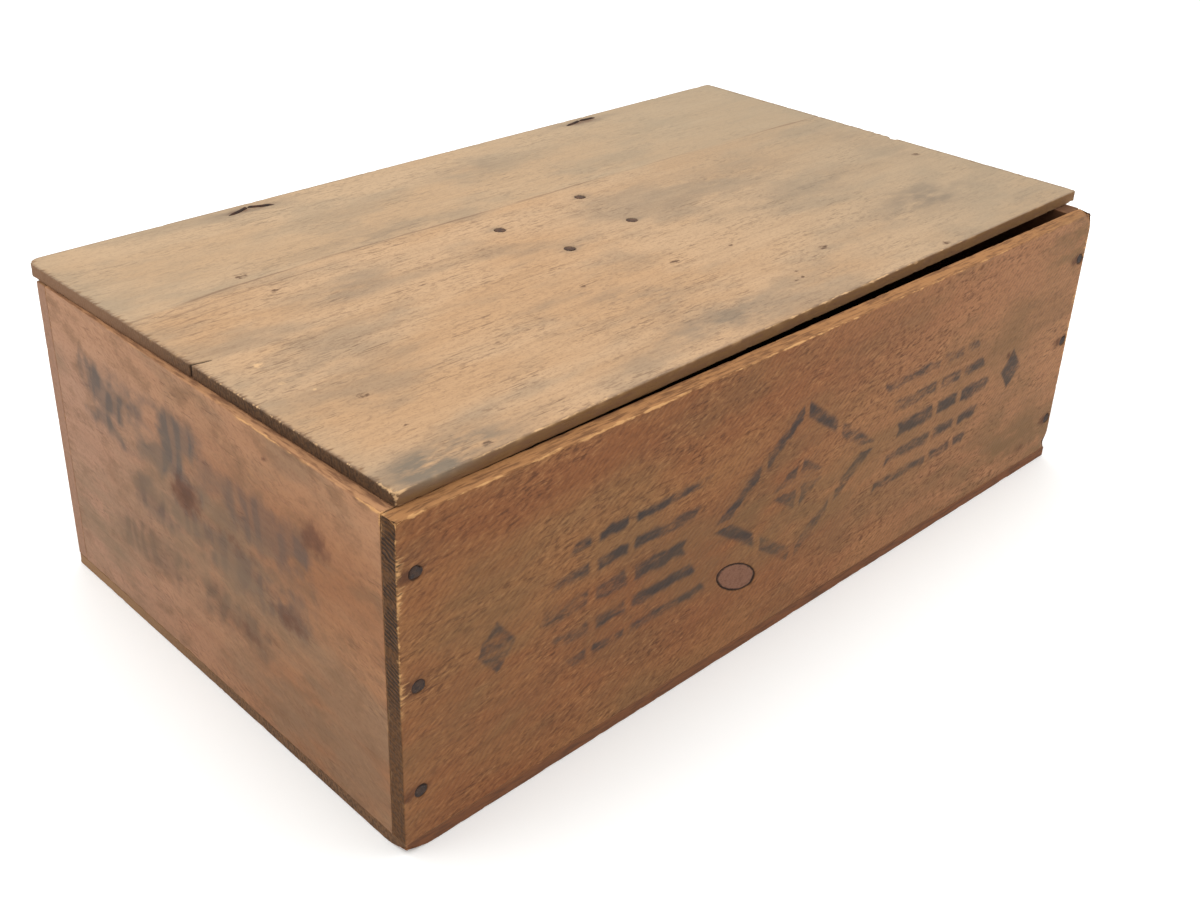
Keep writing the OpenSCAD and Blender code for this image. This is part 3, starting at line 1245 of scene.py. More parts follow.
@dataclass(frozen=True)
class Hang:
    """How the lid hangs: U runs along the hinge line to the right, V square to it to the back, Z up."""

    x: float
    y: float
    z: float
    turn: float

    @classmethod
    def on(cls, joint: dict[str, Any]) -> "Hang":
        """The lid's hang on the frame's hinge, whose axis points to the left."""
        x, y, z = (value / MM for value in joint["pos_m"])
        return cls(x, y, z, math.atan2(-joint["axis"][1], -joint["axis"][0]))

    def placed(self, points: np.ndarray) -> np.ndarray:
        """Turns points about the upright line through the hinge's middle.

        Args:
            points: Places along U, V and Z.

        Returns:
            Places in the box.
        """
        cos, sin = math.cos(self.turn), math.sin(self.turn)
        u, v, z = points.T
        return np.stack([self.x + u * cos - v * sin, self.y + u * sin + v * cos, z], axis=1)

    def own(self, x: float, y: float) -> Pair:
        """Place in the box as U and V."""
        cos, sin = math.cos(self.turn), math.sin(self.turn)
        return (x - self.x) * cos + (y - self.y) * sin, (y - self.y) * cos - (x - self.x) * sin


def dress(
    piece: bpy.types.Object, material: bpy.types.Material, body: Body, node: str
) -> bpy.types.Object:
    """Gives a piece its material and sets it in the frame in place of a node.

    Args:
        piece: The new piece.
        material: Its finish.
        body: The body that it moves with.
        node: The node that it stands for.

    Returns:
        The piece.
    """
    piece.data.materials.append(material)
    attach(piece, body.value)
    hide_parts(node)
    LOG.info("%s on %s: %d faces", piece.name, body.value, len(piece.data.polygons))
    return piece


@dataclass
class Board:
    """One board with worn arrises, dents and hollows round its nails."""

    node: str
    body: Body
    slot: str
    finish: PineFinish
    steps: Triple
    seed: int
    inner: Triple
    arris: float = 0.40
    ragged: float = 0.8
    marks: tuple[Mark, ...] = ()
    rubs: tuple[Blot, ...] = ()
    stains: tuple[Blot, ...] = ()
    knots: tuple[Blot, ...] = ()
    dents: tuple[Blot, ...] = ()
    recesses: tuple[Recess, ...] = ()
    arris_grid: Pair = (0.9, 0.32)
    rub_radius: float = 0.5
    least_radius: float = 0.12
    most_radius_share: float = 0.44
    torn_reach: float = 0.8
    wave_depth: float = 0.30
    wave_fade: float = 4.0
    arris_limit: float = 8.0
    end_limit: float = 12.0

    def size(self) -> tuple[np.ndarray, np.ndarray]:
        """Lowest and highest corner of the board along its own axes."""
        low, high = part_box(self.node)
        return np.array(low) / MM, np.array(high) / MM

    def placed(self, points: np.ndarray) -> np.ndarray:
        """Points of the board as they lie in the box."""
        return points

    def cut(self, points: np.ndarray, face: np.ndarray) -> np.ndarray:
        """Depth of the hollows in the board.

        Args:
            points: Places on the plain board.
            face: Outward directions.

        Returns:
            Depth at each point.
        """
        depth = np.zeros(len(points))
        for recess in self.recesses:
            depth = np.maximum(depth, recess.at(points))
        return depth

    def lattice(self, low: np.ndarray, high: np.ndarray) -> tuple[np.ndarray, np.ndarray]:
        """Grid of a plain box, finer at its arrises and marks.

        Args:
            low: Its lowest corner.
            high: Its highest corner.

        Returns:
            Its points and quads.
        """
        lines = []
        for axis in range(3):
            ends = [Mark(axis, place, *self.arris_grid) for place in (low[axis], high[axis])]
            marks = ends + [mark for mark in self.marks if mark.axis == axis]
            lines.append(grid_lines(low[axis], high[axis], self.steps[axis], marks))
        return box_grid(lines)

    def build(self) -> bpy.types.Object:
        """Works out the board's surface and makes its object.

        Each point p of a box is moved to q + r * n, where q is p held r inside the box, n points from q to p
        and r is the radius of the worn arris, larger where it is rubbed. Then it sinks along n by the depth
        of slow waves, torn arrises, dents and hollows.

        Returns:
            The finished piece.
        """
        along, across, _ = self.finish.grain.value
        low, high = self.size()
        points, quads = self.lattice(low, high)
        gaps = np.minimum(points - low, high - points)
        arris = np.sort(gaps, axis=1)[:, 1]
        rub = strongest(self.rubs, points)
        slow = noise(points, (18, 18, 18), self.seed)
        radius = self.arris * (0.7 + 0.6 * slow) + self.rub_radius * rub
        most = self.most_radius_share * (high - low).min()
        radius = np.clip(radius, self.least_radius, most)[:, None]
        kept = np.clip(points, low + radius, high - radius)
        away = points - kept
        face = away / np.linalg.norm(away, axis=1, keepdims=True)
        chips = noise(points, (2.4, 2.4, 2.4), self.seed + 3)
        torn = smooth(chips, 0.58, 0.82) * np.exp(-arris / self.torn_reach)
        torn = torn * (0.30 + 0.7 * np.minimum(rub, 1))
        wave = noise(points, self.finish.grain.sizes(120, 30, 30), self.seed + 1)
        cut = self.cut(points, face)
        depth = self.wave_depth * wave * (1 - np.exp(-arris / self.wave_fade)) + self.ragged * torn + cut
        depth = depth + strongest(self.dents, points)
        surface = kept + radius * face - depth[:, None] * face
        lying = self.placed(points)
        attributes = {
            "arris": np.minimum(arris, self.arris_limit),
            "end_gap": np.minimum(gaps[:, along], self.end_limit),
            "end_grain": np.abs(face[:, along]) ** 3,
            "edge": np.abs(face[:, across]) ** 3,
            "inner": smooth(face @ np.array(self.inner), 0.5, 0.9),
            "hollow": cut,
            "torn": torn,
            "rub": rub,
            "stain": strongest(self.stains, lying),
            "knot": strongest(self.knots, lying),
        }
        name = f"{self.node}_worn"
        piece = make_mesh(name, self.placed(surface), quads, NO_TRIANGLES, attributes)
        return dress(piece, self.finish.material(), self.body, self.node)


@dataclass
class KnotBoard(Board):
    """Front board, with a pocket for its loose knot."""

    pocket: float = 0.9

    def cut(self, points: np.ndarray, face: np.ndarray) -> np.ndarray:
        """Depth of the hollows, and of a pocket whose wall slopes in round the knot's oval.

        Args:
            points: Places on the plain board.
            face: Outward directions.

        Returns:
            Depth at each point.
        """
        long, wide = self.finish.knot_axes(points[:, 0], points[:, 2])
        flat = np.abs(face[:, 1]) > 0.9
        inside = 1 - smooth(np.hypot(long, wide), 0.99, 1.08)
        return super().cut(points, face) + self.pocket * flat * inside


@dataclass(kw_only=True)
class LidBoard(Board):
    """Lid board along the axes of its hang: rounded corners, a split in one end and a notch in the other."""

    hang: Hang
    corner_radii: tuple[tuple[bool, bool, float], ...] = (
        (False, False, 2.0), (True, False, 1.0), (False, True, 6.0), (True, True, 2.0),
    )
    split_start: Pair = (-195.4, -111.5)
    split_end: Pair = (-187.5, -112.8)
    split_depth: float = 1.5
    split_half: float = 0.42
    notch_v: float = -118.5
    notch_depth: float = 1.9
    notch_half: float = 1.5
    notch_reach: float = 2.2

    def size(self) -> tuple[np.ndarray, np.ndarray]:
        """Lowest and highest corner of the lid along its own axes.

        A rectangle of length l and width w that is turned fills l * cos + w * sin by l * sin + w * cos. So l
        is (wide * cos - deep * sin) / cos of twice the turn, and w is the same with wide and deep
        changed over.

        Returns:
            The two corners.
        """
        low, high = super().size()
        turn = self.hang.turn
        wide, deep = high[:2] - low[:2]
        length = (wide * math.cos(turn) - deep * math.sin(turn)) / math.cos(2 * turn)
        width = (deep * math.cos(turn) - wide * math.sin(turn)) / math.cos(2 * turn)
        u, v = self.hang.own(*((low + high) / 2)[:2])
        half = np.array([length / 2, width / 2])
        return np.array([*((u, v) - half), low[2]]), np.array([*((u, v) + half), high[2]])

    def placed(self, points: np.ndarray) -> np.ndarray:
        """Points with rounded corners, as they hang.

        A square at a corner becomes a quarter disc: distances p and q from its inner sides shrink by
        max(p, q) / hypot(p, q).

        Args:
            points: Places along the lid's own axes.

        Returns:
            Places in the box.
        """
        low, high = self.size()
        flat = points.copy()
        for right, back, radius in self.corner_radii:
            corner = np.where((right, back), high[:2], low[:2])
            inwards = np.where((right, back), -1, 1)
            past = np.maximum(radius - inwards * (points[:, :2] - corner), 0)
            shrink = past.max(axis=1) / np.maximum(np.hypot(past[:, 0], past[:, 1]), 1e-9)
            rounded = corner + inwards * (radius - past * shrink[:, None])
            flat[:, :2] = np.where(past.min(axis=1, keepdims=True) > 0, rounded, flat[:, :2])
        return self.hang.placed(flat)

    def cut(self, points: np.ndarray, face: np.ndarray) -> np.ndarray:
        """Depth of the hollows, of the narrowing split in the left edge and of the notch in the right one.

        Args:
            points: Places on the plain board.
            face: Outward directions.

        Returns:
            Depth at each point.
        """
        _, high = self.size()
        start = np.array(self.split_start)
        run = np.array(self.split_end) - start
        away = points[:, :2] - start
        open_part = np.clip(1 - away @ run / (run @ run), 0, 1)
        off = (away[:, 0] * run[1] - away[:, 1] * run[0]) / np.linalg.norm(run)
        split = self.split_depth * np.sqrt(open_part) * np.exp(-((off / self.split_half) ** 2))
        near = 1 - smooth(high[0] - points[:, 0], 0.0, self.notch_reach)
        notch = self.notch_depth * near * np.exp(-(((points[:, 1] - self.notch_v) / self.notch_half) ** 2))
        return super().cut(points, face) + split + notch


@dataclass
class NailRow:
    """Nails of one node: rough heads, longer along the grain, on tapering shanks, all driven the same way."""

    node: str
    body: Body
    places: tuple[Triple, ...]
    drive: Triple
    head: float
    shank: float
    length: float
    seed: int
    stretch: float = 1.0
    slot: str = "nail_iron"
    sides: int = 32
    rim_least: float = 0.56
    rim_spread: float = 0.62
    hammered: float = 0.30

    def profile(self) -> np.ndarray:
        """Radius and depth from the middle of the head's face to the point: face, rim, neck, shank, point.

        Returns:
            One row for each ring.
        """
        head, shank = self.head / 2, self.shank / 2
        face = [(head * part, 0.10 * part**2) for part in (0.2, 0.45, 0.7, 0.86)]
        rim = [(head * 0.96, 0.22), (head, 0.45), (head * 0.98, 0.75), (head * 0.9, 1.0)]
        neck = (shank * 1.15, 1.15)
        body = [(shank, 2.2), (shank, self.length * 0.6), (shank * 0.95, self.length - 2 * shank)]
        return np.array([*face, *rim, neck, *body, (0.3, self.length - 0.3)])

    def one(self, place: Triple, seed: int) -> np.ndarray:
        """Points of one nail: the profile turned round the drive, with an uneven rim and a hammered face.

        Args:
            place: Middle of the head's face.
            seed: Makes each nail's own unevenness.

        Returns:
            Points ring by ring, then the middle of the face and the tip.
        """
        drive = np.array(self.drive)
        side = np.array([drive[1], drive[2], drive[0]])
        up = np.cross(drive, side)
        angle = round_angles(self.sides)
        round_way = np.cos(angle)[:, None] * side + np.sin(angle)[:, None] * up
        profile = self.profile()
        rim = self.rim_least + self.rim_spread * noise(round_way * 1.3 + 5.0 * seed, (1, 1, 1), seed)
        longer = (np.cos(angle) if abs(side[0]) > 0.5 else np.sin(angle)) ** 2
        rim = rim * (1 / self.stretch + (self.stretch - 1 / self.stretch) * longer)
        uneven = np.where(profile[:, :1] > 0.6 * self.shank, rim, 1.0)
        points = profile[:, 0, None, None] * uneven[..., None] * round_way
        ring = (points + profile[:, 1, None, None] * drive).reshape(-1, 3)
        hammer = self.hammered * (noise(ring * 0.9, (1, 1, 1), seed + 1) - 0.5) * (ring @ drive < 0.6)
        ring = ring + hammer[:, None] * drive
        return np.concatenate([ring, [drive * 0.02], [drive * self.length]]) + np.array(place)

    def build(self, finish: IronFinish) -> bpy.types.Object:
        """Makes the row as one piece.

        Args:
            finish: The iron.

        Returns:
            The finished piece.
        """
        quads, triangles = tube_faces(len(self.profile()), self.sides)
        nails = [self.one(place, self.seed + 7 * k) for k, place in enumerate(self.places)]
        first = np.arange(len(nails))[:, None, None] * len(nails[0])
        all_quads = (quads[None] + first).reshape(-1, 4)
        all_triangles = (triangles[None] + first).reshape(-1, 3)
        name = f"{self.node}_hammered"
        piece = make_mesh(name, np.concatenate(nails), all_quads, all_triangles, {})
        return dress(piece, finish.material(), self.body, self.node)


@dataclass
class Knot:
    """Loose knot in the front board: an oval plug with a slightly sunk, uneven face."""

    finish: KnotFinish
    place: Pair
    half: Pair
    turn: float
    node: str = "front_knot"
    sunk: float = 0.25
    sides: int = 96

    def build(self) -> bpy.types.Object:
        """Carries a profile round the oval: both faces and the wall between them.

        Returns:
            The finished piece.
        """
        low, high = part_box(self.node)
        front, back = low.y / MM + self.sunk, high.y / MM - self.sunk
        shares = np.array([0.12, 0.3, 0.5, 0.7, 0.84, 0.93, 0.98, 1.0, 1.0, 1.0, 0.97, 0.6, 0.2])
        depths = np.array([0, 0, 0, 0, 0.02, 0.08, 0.25, 0.6, 3.0, 6.0, 6.4, 6.5, 6.5])
        depths = front + depths * (back - front) / depths[-1]
        angle = round_angles(self.sides)
        circle = np.stack([np.cos(angle), np.sin(angle), 0 * angle], axis=1)
        edge = 0.94 + 0.10 * noise(circle * 2, (1, 1, 1), 4)
        long = shares[:, None] * circle[:, 0] * self.half[0] * edge
        wide = shares[:, None] * circle[:, 1] * self.half[1] * edge
        turn = math.radians(self.turn)
        x = self.place[0] + long * math.cos(turn) + wide * math.sin(turn)
        z = self.place[1] - long * math.sin(turn) + wide * math.cos(turn)
        y = np.broadcast_to(depths[:, None], x.shape)
        ring = np.stack([x, y, z], axis=-1).reshape(-1, 3)
        ring[:, 1] += 0.16 * noise(ring, (4, 4, 4), 6) * (ring[:, 1] < front + 1)
        poles = [[self.place[0], front + 0.08, self.place[1]], [self.place[0], back, self.place[1]]]
        out = np.concatenate([np.repeat(shares, self.sides), [0, 0]])
        quads, triangles = tube_faces(len(shares), self.sides)
        points = np.concatenate([ring, poles])
        piece = make_mesh("front_knot_plug", points, quads, triangles, {"knot_out": out})
        return dress(piece, self.finish.material(), Body.CASE, self.node)


@dataclass
class Hinge:
    """Wire hinge: an eye clenched on the lid, linked with a staple clenched inside the back board."""

    side: str
    hang: Hang
    left_turn: float
    right_turn: float
    wire: float = 1.7
    pressed: float = 1.9
    ring: float = 2.1
    ring_span: Pair = (68.0, -248.0)
    ring_drift: float = 0.3
    ring_points: int = 60
    neck: float = 0.9
    legs_half: float = 0.5
    crown_half: float = 2.2
    taper: float = 4.0
    step: float = 0.28
    sides: int = 16

    def span(self, node: str) -> tuple[float, float, np.ndarray, np.ndarray]:
        """Where a node of the hinge is.

        Args:
            node: The node.

        Returns:
            Its middle and half length along U, then its lowest and highest corner in the box.
        """
        low, high = (np.array(corner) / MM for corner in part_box(node))
        middle, _ = self.hang.own((low[0] + high[0]) / 2, self.hang.y)
        return middle, (high[0] - low[0]) / 2, low, high

    def eye(self, finish: IronFinish) -> bpy.types.Object:
        """Sweeps the eye's wire: along one leg, down the shank, round the ring and back to the other leg.

        Args:
            finish: The wire's iron.

        Returns:
            The finished piece.
        """
        node = f"{self.side}_hinge_eye"
        middle, reach, _, high = self.span(node)
        legs_z = high[2] - self.pressed / 2 - self.hang.z
        turn = np.linspace(*np.radians(self.ring_span), self.ring_points)
        drift = np.linspace(-self.ring_drift, self.ring_drift, self.ring_points)
        ring = np.stack([drift, self.ring * np.cos(turn), self.ring * np.sin(turn)], axis=1)
        neck = self.ring + self.neck
        legs = []
        for way, turned in ((-1, self.left_turn), (1, self.right_turn)):
            forward = -reach * math.tan(math.radians(turned))
            corners = [
                (way * reach, forward, legs_z - 0.15), (way * reach * 0.5, forward * 0.65, legs_z + 0.05),
                (way * self.legs_half, 0, legs_z), (way * self.legs_half, 0, neck),
            ]
            legs.append(rounded_path(corners, 1.1, self.step))
        path = np.concatenate([legs[0], ring, legs[1][::-1]])
        thick = np.where(path[:, 2] < neck, self.wire, self.pressed) / 2
        thick = thick * (1 - 0.6 * smooth(np.abs(path[:, 0]), reach - self.taper, reach))
        return self.piece(node, Body.LID, path + np.array([middle, 0, self.hang.z]), thick, finish)

    def staple(self, finish: IronFinish) -> bpy.types.Object:
        """Sweeps the staple's wire: in along one leg, through the crown and back along the other.

        Args:
            finish: The wire's iron.

        Returns:
            The finished piece.
        """
        node = f"{self.side}_hinge_staple"
        middle, reach, low, _ = self.span(node)
        half = self.crown_half
        lean = (middle - reach) * math.sin(self.hang.turn)
        inner = (low[1] + self.wire / 2 - self.hang.y - lean) / math.cos(self.hang.turn)
        corners = [
            (-reach, inner + 0.4, -0.5), (-half, inner, 0), (-half, 0, 0),
            (half, 0, 0), (half, inner, 0), (reach, inner + 0.4, 0.6),
        ]
        path = rounded_path(corners, 0.9, self.step)
        thick = self.wire / 2 * (1 - 0.7 * smooth(np.abs(path[:, 0]), reach - self.taper, reach))
        return self.piece(node, Body.CASE, path + np.array([middle, 0, self.hang.z]), thick, finish)

    def piece(
        self, node: str, body: Body, path: np.ndarray, thick: np.ndarray, finish: IronFinish
    ) -> bpy.types.Object:
        """Makes one wire of the hinge.

        Args:
            node: The node that it stands for.
            body: The body that it moves with.
            path: Its middle line along the axes of the hang.
            thick: Its radius along the path.
            finish: Its iron.

        Returns:
            The finished piece.
        """
        uneven = thick * (0.94 + 0.12 * noise(path, (1.6, 1.6, 1.6), 3))
        quads, triangles = tube_faces(len(path), self.sides)
        points = swept_wire(self.hang.placed(path), uneven, self.sides)
        made = make_mesh(f"{node}_wire", points, quads, triangles, {})
        return dress(made, finish.material(), body, node)


NAIL_IRON = IronFinish("nail_iron", tint(42, 31, 28), tint(62, 45, 36), tint(96, 84, 78))
TACK_IRON = IronFinish("tack_iron", tint(66, 48, 38), tint(92, 66, 50), tint(112, 90, 76))
HINGE_IRON = IronFinish("hinge_iron", tint(44, 30, 24), tint(68, 44, 32), tint(84, 70, 60), 0.2)

FRONT_PINE = FrontFinish(
    "front_pine", Grain.SIDE, 3.7, pale=tint(137, 93, 57), warm=tint(128, 80, 48), dark=tint(74, 43, 27),
    grey=tint(108, 82, 54), edge=tint(158, 112, 70), end=tint(92, 60, 31), dab_tone=0.62, dab_lean=0.34,
    fleck_tone=0.55, saw_tone=0.18, kerf_tone=0.80, kerf_from=62.0, nick_tone=0.95,
)
BACK_PINE = PineFinish(
    "back_pine", Grain.SIDE, 41.2, pale=tint(146, 102, 67), warm=tint(136, 89, 57), dark=tint(82, 48, 31),
    grey=tint(112, 88, 60), edge=tint(140, 104, 70), end=tint(146, 110, 88), dab_lean=-0.28, fleck_tone=0.5,
    saw_tone=0.12, cell_tone=0.12, kerf_tone=0.0,
)
# The left end's edge tint, on its top edge under the lid, is brightened as painted light against the shade
# that the lid casts there.
LEFT_PINE = EndFinish(
    "left_end_pine", Grain.END, 77.5, pale=tint(150, 107, 75), warm=tint(142, 96, 64), dark=tint(92, 58, 42),
    grey=tint(120, 98, 76), edge=tint(176, 130, 92), end=tint(98, 72, 50),
    streak_tone=0.12, dab_tone=0.26, dab_lean=0.5, speck_tone=0.18, fleck_tone=0.40, cloud_tone=0.55,
)
# The right end's edge tint, on its top under the lid, and its inside tint are darkened as painted shade of
# the gap and the closed box.
RIGHT_PINE = PineFinish(
    "right_end_pine", Grain.END, 95.1, pale=tint(152, 110, 79), warm=tint(144, 98, 67), dark=tint(96, 60, 42),
    grey=tint(118, 92, 68), edge=tint(98, 67, 43), end=tint(98, 72, 50),
    inside=tint(100, 66, 43), dab_tone=0.28, dab_lean=-0.3, speck_tone=0.15, fleck_tone=0.30,
)
BOTTOM_PINE = PineFinish(
    "bottom_pine", Grain.FLAT, 123.9, pale=tint(138, 102, 76), warm=tint(126, 88, 64), dark=tint(76, 50, 36),
    grey=tint(102, 86, 68), edge=tint(112, 70, 44), end=tint(110, 79, 53), worn=tint(160, 110, 72),
    back_end=tint(142, 108, 76), streak_tone=0.30,
)
LID_PINE = LidFinish(
    "lid_pine", Grain.FLAT, 61.4, pale=tint(192, 156, 120), warm=tint(185, 145, 106), dark=tint(108, 77, 56),
    grey=tint(122, 108, 92), edge=tint(118, 86, 52), end=tint(88, 62, 40), worn=tint(218, 178, 132),
    inside=tint(172, 131, 94), dab_tone=0.36, dab_lean=0.06, speck_tone=0.28, fleck_tone=0.60,
    cloud_tone=0.48, back_end=tint(126, 93, 68),
)


@dataclass
class Case:
    """Case of five nailed boards with its nails and knot.

    A nail is given as the widths of its head and shank and its length.
    """

    half_l: float = 196.0
    half_w: float = 110.0
    top: float = 127.0
    nail_left: float = -189.0
    nail_right: float = 192.5
    nail_heights: tuple[float, ...] = (24.0, 65.5, 107.0)
    nail_drop: float = 2.0
    nail: Triple = (5.5, 2.4, 30.0)
    nail_stretch: float = 1.12
    nail_seeds: tuple[int, ...] = (100, 140, 180, 220)
    nail_sink: float = 0.3
    nail_recess: float = 0.42
    nail_grid: float = 0.45
    floor_nail: Triple = (4.6, 1.8, 19.0)
    floor_seeds: tuple[int, ...] = (300, 360, 420, 480)
    floor_grid: Pair = (3.0, 0.55)
    floor_x: float = 190.5
    floor_y: float = 106.5
    floor_row_x: float = 164.0
    floor_row_y: float = 62.0

    def corner_places(self, side_x: int, side_y: int) -> tuple[Triple, ...]:
        """Middles of the nail heads at one corner.

        Args:
            side_x: -1 for the left, 1 for the right.
            side_y: -1 for the front, 1 for the back.

        Returns:
            The places.
        """
        x, drop = (self.nail_left, 0.0) if side_x < 0 else (self.nail_right, self.nail_drop)
        y = side_y * (self.half_w - self.nail_sink)
        return tuple((x, y, z - drop) for z in self.nail_heights)

    def floor_places(self, along_front: bool, side: int) -> tuple[Triple, ...]:
        """Middles of the nail heads under one edge of the bottom.

        Args:
            along_front: True for the front and back edges.
            side: -1 for the front or left edge, 1 for the back or right edge.

        Returns:
            The places.
        """
        if along_front:
            row = np.linspace(-self.floor_row_x, self.floor_row_x, 5)
            return tuple((float(x), side * self.floor_y, self.nail_sink) for x in row)
        row = np.linspace(-self.floor_row_y, self.floor_row_y, 3)
        return tuple((side * self.floor_x, float(y), self.nail_sink) for y in row)

    def side_board(self, node: str, finish: PineFinish, side_y: int, seed: int) -> Board:
        """Front or back board with its marks.

        Args:
            node: The node that it stands for.
            finish: Its pine.
            side_y: -1 for the front, 1 for the back.
            seed: Its own wear.

        Returns:
            The board, not yet built.
        """
        face = side_y * self.half_w
        places = self.corner_places(-1, side_y) + self.corner_places(1, side_y)
        recesses = tuple(Recess((x, face, z), 1, self.nail[0] * self.nail_recess) for x, _, z in places)
        marks = tuple(Mark(0, x, 3.6, self.nail_grid) for x in (self.nail_left, self.nail_right))
        marks += tuple(Mark(2, z, 4.0, self.nail_grid) for z in self.nail_heights)
        common = dict(
            node=node, body=Body.CASE, slot="side_pine", finish=finish, steps=(2.6, 1.2, 1.15), seed=seed,
            inner=(0, -side_y, 0), recesses=recesses,
        )
        if side_y > 0:
            rubs = spots(1, face, (-60, self.top, 120, 2.5, 3, 0.5), (110, 0, 80, 3, 3, 0.5))
            return Board(marks=marks, rubs=rubs, **common)
        rubs = spots(
            1, face,
            (-110, self.top, 75, 2.5, 3, 1.0), (-10, self.top, 50, 2.5, 3, 0.75),
            (90, self.top, 60, 2.5, 3, 0.45), (-self.half_l, self.top, 14, 6, 9, 1.3),
            (-self.half_l, 84, 3, 3, 26, 0.8),
        )
        dents = spots(
            1, face,
            (-self.half_l, self.top, 6, 5, 5, 1.6), (self.half_l, self.top, 5, 5, 4, 1.7),
            (101, 124.6, 3.2, 1.2, 0.9, 0.5), (111, 125.0, 3.6, 1.2, 0.8, 0.5),
            (197, 8, 3.5, 3.5, 3.0, 1.6), (102, 6.5, 3.5, 1.5, 0.7, 0.7),
        )
        stains = spots(
            1, face,
            (150, 66, 60, 5, 34, 0.15), (150, 22, 50, 5, 16, 0.85), (188, 14, 16, 5, 16, 0.90),
            (186, 114, 26, 5, 18, 0.85), (0, 50, 90, 5, 22, 0.45), (-150, 70, 30, 5, 30, 0.25),
        )
        rusty = [(x - 2.5, z + 0.6, 7.0, 3.0, 3.2, 0.65) for x, _, z in places]
        knots = spots(1, face, (143, 72, 3, 3, 2.5, 0.6), (172, 14, 9, 3, 3, 0.5), *rusty)
        marks += (Mark(0, FRONT_PINE.knot_place[0], 14, 0.55), Mark(2, FRONT_PINE.knot_place[1], 9, 0.5))
        return KnotBoard(marks=marks, rubs=rubs, dents=dents, stains=stains, knots=knots, **common)

    def end_board(self, node: str, finish: PineFinish, side_x: int, seed: int) -> Board:
        """End board with its marks.

        Args:
            node: The node that it stands for.
            finish: Its pine.
            side_x: -1 for the left, 1 for the right.
            seed: Its own wear.

        Returns:
            The board, not yet built.
        """
        face = side_x * self.half_l
        rubs = spots(0, face, (-50, self.top, 3, 45, 2.5, 0.7), (-100, self.top, 3, 16, 4, 0.9))
        knots = spots(
            0, face,
            (11, 79, 3, 9.5, 7.5, 1.0), (-68, 100, 3, 9, 6.5, 0.8), (-51, 60, 3, 10, 5, 0.65),
            (-20, 74, 3, 16, 5, 0.40), (-24, 40, 3, 14, 5, 0.40), (-43, 118, 3, 1.6, 1.2, 0.8),
        )
        stains = spots(
            0, face,
            (10, 64, 4, 62, 34, 0.60), (80, 30, 4, 50, 34, 0.60), (-60, 20, 4, 50, 20, 0.25),
        )
        return Board(
            node=node, body=Body.CASE, slot="end_pine", finish=finish, steps=(1.6, 2.0, 1.4), seed=seed,
            inner=(-side_x, 0, 0), rubs=rubs, knots=knots if side_x < 0 else (), stains=stains, arris=0.35,
        )

    def bottom_board(self) -> Board:
        """Bottom board with its marks.

        Returns:
            The board, not yet built.
        """
        places = [p for along in (True, False) for side in (-1, 1) for p in self.floor_places(along, side)]
        recesses = tuple(Recess((x, y, 0.0), 2, self.floor_nail[0] / 2) for x, y, _ in places)
        marks = tuple(Mark(axis, place[axis], *self.floor_grid) for place in places for axis in (0, 1))
        corner = (-self.half_l, -self.half_w)
        return Board(
            node="bottom_board", body=Body.CASE, slot="bottom_pine", finish=BOTTOM_PINE,
            steps=(3.2, 3.0, 1.2), seed=61, inner=(0, 0, 1), recesses=recesses, marks=marks,
            stains=spots(2, 0, (60, 20, 90, 60, 4, 0.6), (-110, -40, 60, 50, 4, 0.5)),
            rubs=spots(2, 2.5, (*corner, 5, 5, 4, 1.6)), dents=spots(2, 0, (*corner, 6, 6, 6, 1.6)),
        )

    def build(self) -> None:
        """Makes the boards, the nails and the knot."""
        self.side_board("front_board", FRONT_PINE, -1, 11).build()
        self.side_board("back_board", BACK_PINE, 1, 23).build()
        self.end_board("left_end", LEFT_PINE, -1, 37).build()
        self.end_board("right_end", RIGHT_PINE, 1, 49).build()
        self.bottom_board().build()
        Knot(KnotFinish(), FRONT_PINE.knot_place, FRONT_PINE.knot_half, FRONT_PINE.knot_turn).build()
        sides = {"left": -1, "right": 1, "front": -1, "back": 1}
        corners = [(long_side, end) for long_side in ("front", "back") for end in ("left", "right")]
        for (long_side, end), seed in zip(corners, self.nail_seeds):
            places = self.corner_places(sides[end], sides[long_side])
            drive = (0, -sides[long_side], 0)
            node = f"{long_side}_{end}_nails"
            NailRow(node, Body.CASE, places, drive, *self.nail, seed, self.nail_stretch).build(NAIL_IRON)
        for edge, seed in zip(("front", "back", "left", "right"), self.floor_seeds):
            places = self.floor_places(edge in ("front", "back"), sides[edge])
            node = f"bottom_{edge}_nails"
            NailRow(node, Body.CASE, places, (0, 0, 1), *self.floor_nail, seed).build(NAIL_IRON)


